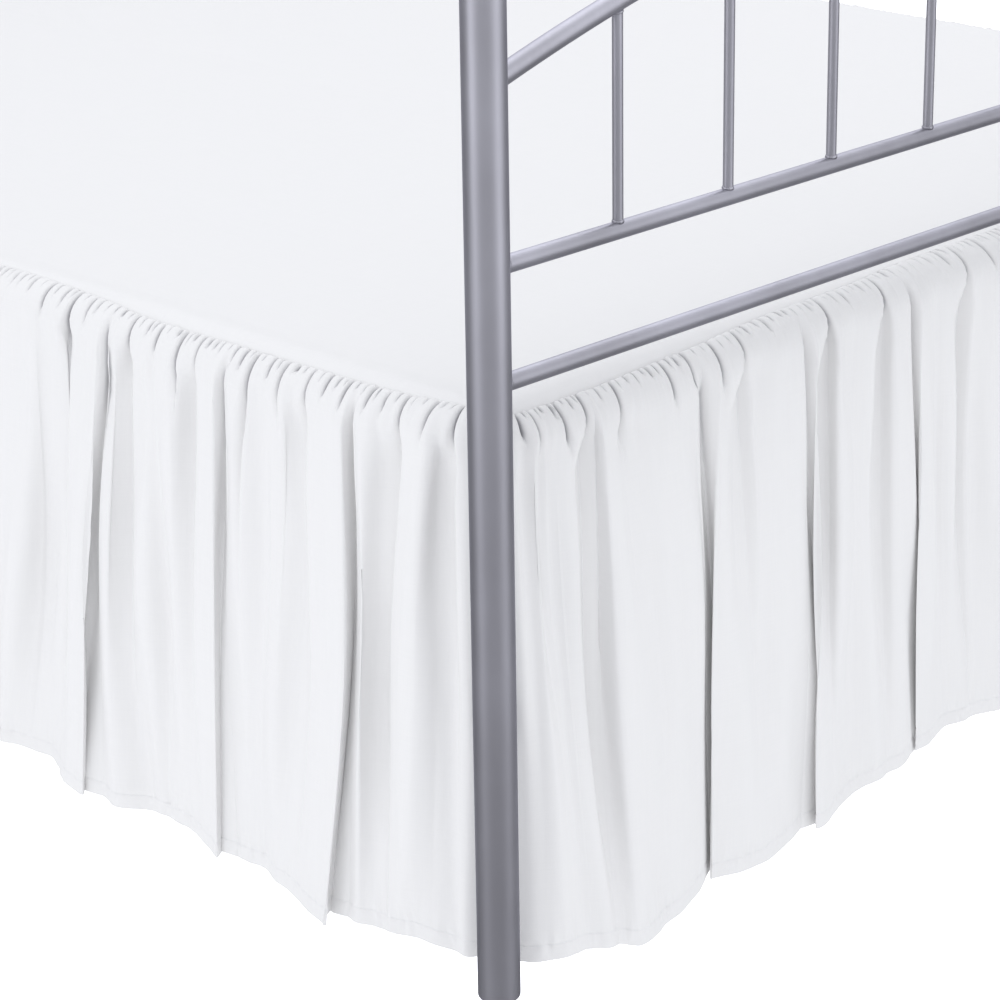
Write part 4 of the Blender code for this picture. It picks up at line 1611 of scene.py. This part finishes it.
class NodeBench:
    """Lays nodes in one tree and joins them."""

    def __init__(self, tree: bpy.types.NodeTree) -> None:
        """Works in that tree."""
        self.tree = tree

    def add(self, kind: str, **settings: object) -> bpy.types.Node:
        """A new node.

        Args:
            kind: Blender's name for its kind.
            settings: Its own settings.

        Returns:
            The node.
        """
        node = self.tree.nodes.new(kind)
        for key, value in settings.items():
            setattr(node, key, value)
        return node

    def feed(self, socket: bpy.types.NodeSocket, value: object) -> None:
        """Joins a value to a socket, or sets it there if it is plain.

        Args:
            socket: The input.
            value: A socket, a plain value, or None to leave the input alone.
        """
        if isinstance(value, bpy.types.NodeSocket):
            self.tree.links.new(value, socket)
        elif value is not None:
            socket.default_value = value

    def sum(self, operation: str, a: object, b: object = None,
            c: object = None) -> bpy.types.NodeSocket:
        """The result of one Math node.

        Args:
            operation: What it does.
            a: Its first value or socket.
            b: Its second, if it has one.
            c: Its third, if it has one.

        Returns:
            The node's output.
        """
        node = self.add("ShaderNodeMath", operation=operation)
        for socket, value in zip(node.inputs, (a, b, c)):
            self.feed(socket, value)
        return node.outputs[0]

    def weighted(self, start: float, *terms: tuple) -> bpy.types.NodeSocket:
        """A sum of values, each times its weight.

        Args:
            start: What they are added to.
            terms: Pairs of a value and its weight.

        Returns:
            The sum.
        """
        total = start
        for value, weight in terms:
            total = self.sum("MULTIPLY_ADD", value, weight, total)
        return total

    def mixed(self, factor: object, a: object, b: object) -> bpy.types.NodeSocket:
        """A colour between two others.

        Args:
            factor: Share of the second.
            a: The first colour or socket.
            b: The second.

        Returns:
            The mixed colour.
        """
        node = self.add("ShaderNodeMix", data_type="RGBA")
        self.feed(node.inputs["Factor"], factor)
        self.feed(node.inputs[6], a)
        self.feed(node.inputs[7], b)
        return node.outputs[2]

    def ranged(self, value: object, low: float, high: float, to_low: float = 0.0,
               to_high: float = 1.0) -> bpy.types.NodeSocket:
        """A value brought from one range to another, and held there.

        Args:
            value: The socket with the value.
            low: Where the range starts.
            high: Where it ends.
            to_low: The result at the start.
            to_high: The result at the end.

        Returns:
            The node's output.
        """
        node = self.add("ShaderNodeMapRange", clamp=True)
        for socket, number in zip(node.inputs, (value, low, high, to_low, to_high)):
            self.feed(socket, number)
        return node.outputs[0]

    def noise(self, vector: bpy.types.NodeSocket, scale: float, detail: float = 2.0,
              rough: float = 0.5,
              stretch: tuple = (1.0, 1.0, 1.0)) -> bpy.types.NodeSocket:
        """Soft noise of about 0 to 1.

        Args:
            vector: The place.
            scale: How fine it is.
            detail: How many finer layers it has.
            rough: How strong those are.
            stretch: Scale along each axis: below 1 draws it out.

        Returns:
            The noise.
        """
        mapping = self.add("ShaderNodeMapping", vector_type="POINT")
        self.feed(mapping.inputs["Vector"], vector)
        mapping.inputs["Scale"].default_value = stretch
        node = self.add("ShaderNodeTexNoise")
        self.feed(node.inputs["Vector"], mapping.outputs[0])
        node.inputs["Scale"].default_value = scale
        node.inputs["Detail"].default_value = detail
        node.inputs["Roughness"].default_value = rough
        return node.outputs[0]

    def group(self, tree: bpy.types.NodeTree, **values: object) -> bpy.types.Node:
        """An effect's group.

        Args:
            tree: The group.
            values: What feeds each input, by its name.

        Returns:
            The group's node.
        """
        node = self.add("ShaderNodeGroup")
        node.node_tree = tree
        for key, value in values.items():
            self.feed(node.inputs[key], value)
        return node

    def axes(self, vector: bpy.types.NodeSocket) -> object:
        """The x, y and z of a vector, as the outputs of one node.

        Args:
            vector: The vector.

        Returns:
            The three outputs.
        """
        node = self.add("ShaderNodeSeparateXYZ")
        self.feed(node.inputs[0], vector)
        return node.outputs

    def scaled(self, vector: bpy.types.NodeSocket, scale: object) -> bpy.types.NodeSocket:
        """A vector drawn out by a factor.

        Args:
            vector: The vector.
            scale: The factor.

        Returns:
            The longer vector.
        """
        node = self.add("ShaderNodeVectorMath", operation="SCALE")
        self.feed(node.inputs[0], vector)
        self.feed(node.inputs["Scale"], scale)
        return node.outputs[0]

    def bump(self, height: bpy.types.NodeSocket) -> bpy.types.NodeSocket:
        """Normal of a surface with small heights on it.

        Args:
            height: The height in metres.

        Returns:
            The normal.
        """
        node = self.add("ShaderNodeBump")
        node.inputs["Strength"].default_value = 1.0
        node.inputs["Distance"].default_value = 1.0
        self.feed(node.inputs["Height"], height)
        return node.outputs[0]


class Effect:
    """A shader effect that several finishes share."""

    def __init__(self, name: str, inputs: dict, outputs: tuple) -> None:
        """Starts an empty group.

        Args:
            name: Name of the group.
            inputs: Name of each input with its usual value; Place is a vector.
            outputs: Names of the outputs, all plain values.
        """
        self.tree = bpy.data.node_groups.new(name, "ShaderNodeTree")
        for key, value in inputs.items():
            kind = "NodeSocketVector" if key == "Place" else "NodeSocketFloat"
            socket = self.tree.interface.new_socket(key, in_out="INPUT", socket_type=kind)
            if key != "Place":
                socket.default_value = value
        for key in outputs:
            self.tree.interface.new_socket(key, in_out="OUTPUT",
                                           socket_type="NodeSocketFloat")
        self.bench = NodeBench(self.tree)
        self.given = self.bench.add("NodeGroupInput").outputs
        self.result = self.bench.add("NodeGroupOutput").inputs


def weave_effect() -> bpy.types.NodeTree:
    """Plain weave: threads over and under, some of them thicker.

    Returns:
        A group that puts out the threads' height and an uneven shade, both 0 to 1.
    """
    effect = Effect("plain_weave", {"Place": None, "Thread pitch": 0.0004},
                    ("Height", "Shade"))
    bench, given = effect.bench, effect.given
    waves = []
    for place in bench.axes(given["Place"])[:2]:
        turns = bench.sum("DIVIDE", place, given["Thread pitch"])
        waves.append(bench.sum("SINE", bench.sum("MULTIPLY", turns, math.pi)))
    crossing = bench.sum("MULTIPLY", waves[0], waves[1])
    threads = bench.sum("MULTIPLY_ADD", crossing, 0.5, 0.5)
    warp = bench.noise(given["Place"], 900.0, 1.0, 0.5, (1.0, 0.02, 1.0))
    weft = bench.noise(given["Place"], 900.0, 1.0, 0.5, (0.02, 1.0, 1.0))
    slub = bench.sum("MULTIPLY_ADD", bench.sum("ADD", warp, weft), 0.5, 0.0)
    bench.feed(effect.result["Height"], bench.sum("MULTIPLY", threads, slub))
    bench.feed(effect.result["Shade"], slub)
    return effect.tree


def crumple_effect() -> bpy.types.NodeTree:
    """Soft creases that run mostly one way, as in cloth that was folded and washed.

    Returns:
        A group that puts out a height of 0 to 1.
    """
    effect = Effect("soft_creases", {"Place": None, "Scale": 12.0}, ("Height",))
    bench, given = effect.bench, effect.given
    place = bench.scaled(given["Place"], given["Scale"])
    broad = bench.noise(place, 1.0, 3.0, 0.45, (1.0, 0.32, 1.0))
    ridged = bench.sum("ABSOLUTE", bench.sum("SUBTRACT", bench.noise(
        place, 2.3, 2.0, 0.5, (1.0, 0.22, 1.0)), 0.5))
    fine = bench.noise(place, 7.0, 3.0, 0.5, (1.0, 0.6, 1.0))
    total = bench.sum("MULTIPLY_ADD", ridged, -0.7, broad)
    bench.feed(effect.result["Height"], bench.sum("MULTIPLY_ADD", fine, 0.10, total))
    return effect.tree


def stitch_effect() -> bpy.types.NodeTree:
    """A straight line of machine stitches along the cloth.

    Returns:
        A group that puts out the stitches' mask, and how far the cloth is drawn in there.
    """
    effect = Effect("stitch_line", {"Place": None, "Line": 0.015, "Stitch length": 0.003},
                    ("Thread", "Drawn in"))
    bench, given = effect.bench, effect.given
    along, up, _ = bench.axes(given["Place"])
    away = bench.sum("ABSOLUTE", bench.sum("SUBTRACT", up, given["Line"]))
    beside = bench.ranged(away, 0.0002, 0.0004, 1.0, 0.0)
    turns = bench.sum("DIVIDE", along, given["Stitch length"])
    dash = bench.ranged(bench.sum("PINGPONG", turns, 0.5), 0.06, 0.13)
    bench.feed(effect.result["Thread"], bench.sum("MULTIPLY", beside, dash))
    near = bench.ranged(away, 0.0, 0.0045, 1.0, 0.0)
    pulls = bench.noise(given["Place"], 170.0, 2.0, 0.5, (1.0, 0.25, 1.0))
    soft = bench.sum("MULTIPLY", near, near)
    bench.feed(effect.result["Drawn in"], bench.sum("MULTIPLY", soft, pulls))
    return effect.tree


def painted_crease_shade_effect() -> bpy.types.NodeTree:
    """Painted shade in tight creases, where the cloth lies close to itself.

    Returns:
        A group that puts out how open the cloth lies, 0 where it folds tight and 1 on the open
        cloth; the finish paints shade where it is low.
    """
    effect = Effect("painted_crease_shade", {"Reach": 0.006}, ("Open",))
    bench, given = effect.bench, effect.given
    near = bench.add("ShaderNodeAmbientOcclusion", samples=6, only_local=True)
    bench.feed(near.inputs["Distance"], given["Reach"])
    bench.feed(effect.result["Open"], bench.ranged(near.outputs["AO"], 0.22, 0.74))
    return effect.tree


def handling_effect() -> bpy.types.NodeTree:
    """Marks of use on a hard surface: cloudy patches, fine grit and rubbed streaks.

    Returns:
        A group that puts out clouds, grit and streaks, each 0 to 1.
    """
    effect = Effect("handling_marks", {"Place": None, "Scale": 1.0},
                    ("Clouds", "Grit", "Streaks"))
    bench, given = effect.bench, effect.given
    place = bench.scaled(given["Place"], given["Scale"])
    bench.feed(effect.result["Clouds"], bench.noise(place, 9.0, 4.0, 0.55, (1.0, 1.0, 0.5)))
    bench.feed(effect.result["Grit"], bench.noise(place, 900.0, 2.0, 0.6))
    streaks = bench.noise(place, 120.0, 3.0, 0.6, (1.0, 1.0, 0.05))
    bench.feed(effect.result["Streaks"], bench.ranged(streaks, 0.42, 0.72))
    return effect.tree


@dataclass(frozen=True)
class Effects:
    """The effects that finishes share, built once."""

    weave: bpy.types.NodeTree
    crumple: bpy.types.NodeTree
    stitch: bpy.types.NodeTree
    # Painted shade of tight creases, for the cloth's colour.
    depth: bpy.types.NodeTree
    handling: bpy.types.NodeTree

    @classmethod
    def build(cls) -> "Effects":
        """Builds every effect."""
        return cls(weave_effect(), crumple_effect(), stitch_effect(), painted_crease_shade_effect(),
                   handling_effect())


def new_material(name: str) -> tuple[bpy.types.Material, NodeBench, bpy.types.Node]:
    """A material with its Principled shader.

    Args:
        name: Name of the material.

    Returns:
        The material, its bench and its shader.
    """
    material = bpy.data.materials.new(name)
    material.use_nodes = True
    return material, NodeBench(material.node_tree), material.node_tree.nodes["Principled BSDF"]


@dataclass(frozen=True)
class ClothFinish:
    """A woven cloth, laid out by its texture places in metres, with painted shade in its tight
    creases.
    """

    name: str
    colour: tuple
    shadow: tuple
    # Painted shade: the grey that tight creases are darkened toward, how far the occlusion looks
    # for them, and the texture heights over which it comes in.
    crease_painted_shade: tuple = (0.42, 0.42, 0.44)
    painted_shade_reach: float = 0.006
    painted_shade_levels: tuple = (0.40, 0.48)
    thread_pitch: float = 0.00042
    weave_depth: float = 0.00005
    crease_scale: float = 11.0
    crease_depth: float = 0.0012
    thread_colour: tuple = (0.80, 0.81, 0.84)
    thread_share: float = 0.35
    thread_rise: float = 0.00018
    specular: float = 0.25
    roughness: float = 0.90
    stitch_at: float = 0.0150
    stitch_depth: float = 0.00035

    def build(self, effects: Effects) -> bpy.types.Material:
        """Builds the material.

        Args:
            effects: The shared effects.

        Returns:
            The material.
        """
        material, bench, shader = new_material(self.name)
        place = bench.add("ShaderNodeUVMap", uv_map="cloth").outputs[0]
        weave = bench.group(effects.weave, **{"Place": place,
                                              "Thread pitch": self.thread_pitch})
        creases = bench.group(effects.crumple, Place=place, Scale=self.crease_scale)
        stitches = bench.group(effects.stitch, Place=place, Line=self.stitch_at)
        tone = bench.ranged(weave.outputs["Shade"], 0.32, 0.68)
        colour = bench.mixed(tone, (*self.shadow, 1.0), (*self.colour, 1.0))
        sewn = bench.sum("MULTIPLY", stitches.outputs["Thread"], self.thread_share)
        colour = bench.mixed(sewn, colour, (*self.thread_colour, 1.0))
        # Painted shade: the colour is darkened toward a grey where an occlusion mask finds tight
        # creases, only where the second texture place lies above the given levels, as near the
        # ruffles' seam.
        opening = bench.group(effects.depth, Reach=self.painted_shade_reach).outputs["Open"]
        opening = bench.sum("MAXIMUM", opening, bench.ranged(
            bench.axes(place)[1], *self.painted_shade_levels, 1.0, 0.0))
        colour = bench.mixed(opening, (*self.crease_painted_shade, 1.0), colour)
        bench.feed(shader.inputs["Base Color"], colour)
        shader.inputs["Roughness"].default_value = self.roughness
        shader.inputs["Specular IOR Level"].default_value = self.specular
        height = bench.weighted(0.0, (weave.outputs["Height"], self.weave_depth),
                                (creases.outputs["Height"], self.crease_depth),
                                (stitches.outputs["Drawn in"], -self.stitch_depth),
                                (stitches.outputs["Thread"], self.thread_rise))
        bench.feed(shader.inputs["Normal"], bench.bump(height))
        return material


@dataclass(frozen=True)
class SteelFinish:
    """Satin silver paint on steel tube, a little uneven."""

    name: str = "silver_steel_look"
    colour: tuple = (0.38, 0.375, 0.415)
    worn: tuple = (0.31, 0.305, 0.335)
    roughness: float = 0.40
    metallic: float = 0.85
    tint: tuple = (0.45, 0.45, 0.50)
    streak_shine: float = 0.06
    cloud_roughness: float = 0.10
    grit_depth: float = 0.00002
    cloud_depth: float = 0.0005

    def build(self, effects: Effects) -> bpy.types.Material:
        """Builds the material.

        Args:
            effects: The shared effects.

        Returns:
            The material.
        """
        material, bench, shader = new_material(self.name)
        place = bench.add("ShaderNodeTexCoord").outputs["Object"]
        marks = bench.group(effects.handling, Place=place, Scale=1.0)
        clouds = bench.ranged(marks.outputs["Clouds"], 0.35, 0.68)
        colour = bench.mixed(clouds, (*self.worn, 1.0), (*self.colour, 1.0))
        bench.feed(shader.inputs["Base Color"], colour)
        shader.inputs["Metallic"].default_value = self.metallic
        shader.inputs["Specular Tint"].default_value = (*self.tint, 1.0)
        rough = bench.weighted(self.roughness, (marks.outputs["Streaks"], -self.streak_shine),
                               (marks.outputs["Clouds"], self.cloud_roughness))
        bench.feed(shader.inputs["Roughness"], rough)
        height = bench.weighted(0.0, (marks.outputs["Grit"], self.grit_depth),
                                (marks.outputs["Clouds"], self.cloud_depth))
        bench.feed(shader.inputs["Normal"], bench.bump(height))
        return material


@dataclass(frozen=True)
class WoodFinish:
    """Sawn softwood of the slats, its grain along their length."""

    name: str = "slat_wood_look"
    early: tuple = (0.64, 0.49, 0.31)
    late: tuple = (0.50, 0.35, 0.20)
    dust: tuple = (0.70, 0.58, 0.42)
    dust_share: float = 0.3
    roughness: float = 0.62
    streak_roughness: float = 0.12
    mark_scale: float = 1.4
    grain_stretch: tuple = (0.35, 9.0, 9.0)
    grain_scale: float = 4.0
    grain_distortion: float = 5.0
    grain_detail: float = 3.0
    grain_depth: float = 0.00025

    def build(self, effects: Effects) -> bpy.types.Material:
        """Builds the material.

        Args:
            effects: The shared effects.

        Returns:
            The material.
        """
        material, bench, shader = new_material(self.name)
        place = bench.add("ShaderNodeTexCoord").outputs["Object"]
        marks = bench.group(effects.handling, Place=place, Scale=self.mark_scale)
        rings = bench.add("ShaderNodeTexWave", wave_type="BANDS", bands_direction="Y")
        mapping = bench.add("ShaderNodeMapping")
        bench.feed(mapping.inputs["Vector"], place)
        mapping.inputs["Scale"].default_value = self.grain_stretch
        bench.feed(rings.inputs["Vector"], mapping.outputs[0])
        rings.inputs["Scale"].default_value = self.grain_scale
        rings.inputs["Distortion"].default_value = self.grain_distortion
        rings.inputs["Detail"].default_value = self.grain_detail
        grain = rings.outputs["Fac"]
        colour = bench.mixed(grain, (*self.early, 1.0), (*self.late, 1.0))
        dusty = bench.sum("MULTIPLY", marks.outputs["Clouds"], self.dust_share)
        colour = bench.mixed(dusty, colour, (*self.dust, 1.0))
        bench.feed(shader.inputs["Base Color"], colour)
        rough = bench.weighted(self.roughness,
                               (marks.outputs["Streaks"], self.streak_roughness))
        bench.feed(shader.inputs["Roughness"], rough)
        height = bench.sum("MULTIPLY", grain, self.grain_depth)
        bench.feed(shader.inputs["Normal"], bench.bump(height))
        return material


# Studio --------------------------------------------------------------------------------

@dataclass(frozen=True)
class Studio:
    """Camera, pale floor and soft light."""

    camera_place: tuple = (-2.6604, -2.8861, 1.4374)
    heading: float = 44.394
    tilt: float = 20.411
    roll: float = -0.898
    lens: float = 118.71
    sensor: float = 36.0
    floor_size: float = 40.0
    floor_glow: float = 0.80
    floor_seen: float = 0.69
    light: tuple = (0.945, 0.96, 1.0)
    ambient: float = 0.58
    overhead: float = 0.98
    overhead_sharpness: float = 2.0
    key: float = 0.84
    key_turn: float = -66.0
    key_rise: float = 0.0
    key_sharpness: float = 4.0
    fill: float = 0.30
    fill_turn: float = 52.0
    fill_rise: float = 42.0
    fill_sharpness: float = 3.0
    strips: float = 2.35
    left_strip_turn: float = -62.0
    left_strip_sharpness: float = 16.0
    right_strip_turn: float = 70.0
    right_strip_sharpness: float = 12.0
    strip_squash: float = 0.3
    gloss_room: float = 0.29
    gloss_behind: float = 3.0
    behind_rise: float = 50.0
    behind_sharpness: float = 3.0
    gloss_front: float = 0.72
    front_sharpness: float = 2.0
    gloss_low: float = 0.14
    gloss_fade: tuple = (-0.33, -0.18)
    floor_colour: tuple = (0.45, 0.45, 0.45)

    def build(self) -> None:
        """Builds the whole studio."""
        self.add_camera()
        self.add_floor()
        self.add_world()
        bpy.context.scene.view_settings.view_transform = "Standard"

    def add_camera(self) -> None:
        """The camera at the photograph's viewpoint."""
        heading, tilt, roll = (math.radians(a) for a in (self.heading, self.tilt, self.roll))
        forward = Vector((math.cos(heading) * math.cos(tilt),
                          math.sin(heading) * math.cos(tilt), -math.sin(tilt)))
        level = Vector((math.sin(heading), -math.cos(heading), 0.0))
        upright = level.cross(forward)
        right = level * math.cos(roll) + upright * math.sin(roll)
        up = upright * math.cos(roll) - level * math.sin(roll)
        data = bpy.data.cameras.new("camera")
        data.lens = self.lens
        data.sensor_width = self.sensor
        data.clip_end = 60.0
        camera = bpy.data.objects.new("camera", data)
        bpy.context.scene.collection.objects.link(camera)
        turn = Matrix((right, up, -forward)).transposed()
        camera.matrix_world = Matrix.Translation(self.camera_place) @ turn.to_4x4()
        bpy.context.scene.camera = camera

    def add_floor(self) -> None:
        """A plain pale floor that glows a little, as a lit studio sweep does."""
        half = self.floor_size / 2.0
        mesh = bpy.data.meshes.new("floor")
        mesh.from_pydata([(-half, -half, 0.0), (half, -half, 0.0), (half, half, 0.0),
                          (-half, half, 0.0)], [], [(0, 1, 2, 3)])
        floor = bpy.data.objects.new("floor", mesh)
        bpy.context.scene.collection.objects.link(floor)
        material = bpy.data.materials.new("pale_floor")
        material.use_nodes = True
        bench = NodeBench(material.node_tree)
        shader = material.node_tree.nodes["Principled BSDF"]
        shader.inputs["Base Color"].default_value = (*self.floor_colour, 1.0)
        shader.inputs["Roughness"].default_value = 0.9
        shader.inputs["Specular IOR Level"].default_value = 0.0
        shader.inputs["Emission Color"].default_value = (*self.light, 1.0)
        path = bench.add("ShaderNodeLightPath")
        bench.feed(shader.inputs["Emission Strength"],
                   bench.sum("MULTIPLY_ADD", path.outputs["Is Camera Ray"], self.floor_seen,
                             self.floor_glow))
        mesh.materials.append(material)
        floor.visible_glossy = False

    def toward(self, turn: float, rise: float) -> Vector:
        """Direction toward a place in the room.

        Args:
            turn: Degrees to the right of the camera.
            rise: Degrees up.

        Returns:
            The direction, with a length of one.
        """
        heading = math.radians(self.heading + 180.0 + turn)
        rise = math.radians(rise)
        return Vector((math.cos(heading) * math.cos(rise), math.sin(heading) * math.cos(rise),
                       math.sin(rise)))

    def lobe(self, bench: NodeBench, direction: bpy.types.NodeSocket, toward: Vector,
             sharpness: float) -> bpy.types.NodeSocket:
        """A soft patch of light on the sky.

        Args:
            bench: Bench of the world.
            direction: Direction that is looked in.
            toward: Middle of the patch.
            sharpness: How small the patch is.

        Returns:
            Its brightness, 1 in the middle.
        """
        dot = bench.add("ShaderNodeVectorMath", operation="DOT_PRODUCT")
        bench.feed(dot.inputs[0], direction)
        dot.inputs[1].default_value = toward
        facing = bench.sum("MAXIMUM", dot.outputs["Value"], 0.0)
        return bench.sum("POWER", facing, sharpness)

    def room_light(self, bench: NodeBench,
                   direction: bpy.types.NodeSocket) -> bpy.types.NodeSocket:
        """The soft light that falls on the cloth.

        Args:
            bench: Bench of the world.
            direction: Direction that is looked in.

        Returns:
            Its brightness.
        """
        key = self.lobe(bench, direction, self.toward(self.key_turn, self.key_rise),
                        self.key_sharpness)
        above = self.lobe(bench, direction, Vector((0.0, 0.0, 1.0)), self.overhead_sharpness)
        fill = self.lobe(bench, direction, self.toward(self.fill_turn, self.fill_rise),
                         self.fill_sharpness)
        return bench.weighted(self.ambient, (key, self.key), (above, self.overhead),
                              (fill, self.fill))

    def gloss_light(self, bench: NodeBench,
                    direction: bpy.types.NodeSocket) -> bpy.types.NodeSocket:
        """What the tubes mirror: two upright strips, a soft front and a bright back wall.

        Args:
            bench: Bench of the world.
            direction: Direction that is looked in.

        Returns:
            Its brightness.
        """
        upright = bench.add("ShaderNodeVectorMath", operation="MULTIPLY")
        bench.feed(upright.inputs[0], direction)
        upright.inputs[1].default_value = (1.0, 1.0, self.strip_squash)
        level = bench.add("ShaderNodeVectorMath", operation="NORMALIZE")
        bench.feed(level.inputs[0], upright.outputs[0])
        left, right, front = (
            self.lobe(bench, level.outputs[0], self.toward(turn, 0.0), sharpness)
            for turn, sharpness in ((self.left_strip_turn, self.left_strip_sharpness),
                                    (self.right_strip_turn, self.right_strip_sharpness),
                                    (0.0, self.front_sharpness)))
        strips = bench.sum("MULTIPLY", bench.sum("ADD", left, right), self.strips)
        strips = bench.sum("MULTIPLY_ADD", front, self.gloss_front, strips)
        low = bench.ranged(bench.axes(direction)[2], *self.gloss_fade, self.gloss_low, 1.0)
        strips = bench.sum("MULTIPLY_ADD", strips, low, self.gloss_room)
        behind = self.lobe(bench, direction, self.toward(180.0, self.behind_rise),
                           self.behind_sharpness)
        return bench.sum("MULTIPLY_ADD", behind, self.gloss_behind, strips)

    def add_world(self) -> None:
        """A white room: one light for the cloth, one for gloss, and plain white where seen."""
        world = bpy.data.worlds.new("soft_light")
        world.use_nodes = True
        world.cycles.sampling_method = "NONE"
        bpy.context.scene.world = world
        bench = NodeBench(world.node_tree)
        background = world.node_tree.nodes["Background"]
        background.inputs["Color"].default_value = (*self.light, 1.0)
        direction = bench.add("ShaderNodeTexCoord").outputs["Generated"]
        room = self.room_light(bench, direction)
        gloss = self.gloss_light(bench, direction)
        path = bench.add("ShaderNodeLightPath")
        mix = bench.add("ShaderNodeMix", data_type="FLOAT")
        bench.feed(mix.inputs["Factor"], path.outputs["Is Glossy Ray"])
        bench.feed(mix.inputs[2], room)
        bench.feed(mix.inputs[3], gloss)
        seen = bench.add("ShaderNodeMix", data_type="FLOAT")
        bench.feed(seen.inputs["Factor"], path.outputs["Is Camera Ray"])
        bench.feed(seen.inputs[2], mix.outputs[0])
        seen.inputs[3].default_value = 1.0
        bench.feed(background.inputs["Strength"], seen.outputs[0])


def main() -> None:
    """Builds the bed skirt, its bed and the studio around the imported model."""
    logging.basicConfig(level=logging.INFO, format="%(name)s: %(message)s")
    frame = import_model()
    bed = BedSizes.from_frame()
    Studio().build()
    effects = Effects.build()
    white = ClothFinish("skirt_cloth_look", (0.78, 0.775, 0.77), (0.765, 0.76, 0.755))
    skirt = white.build(effects)
    deck_cloth = replace(white, name="deck_cloth_look", crease_scale=5.0, crease_depth=0.0009,
                         stitch_at=0.985).build(effects)
    ticking = ClothFinish("ticking_look", (0.83, 0.82, 0.79), (0.74, 0.73, 0.70),
                          thread_pitch=0.0007, weave_depth=0.0001,
                          stitch_at=0.5).build(effects)
    steel = SteelFinish().build(effects)
    wood = WoodFinish().build(effects)
    MetalBed().build(frame, steel, wood)
    BoxSpring(bed).build(ticking)
    Deck(bed).build(deck_cloth)
    Ruffle(Side.LEFT, bed, columns=1370, seed=41).build(skirt)
    Ruffle(Side.RIGHT, bed, columns=1240, seed=43).build(skirt)
    Ruffle(Side.FOOT, bed, columns=1370, seed=47).build(skirt)


if __name__ == "__main__":
    main()
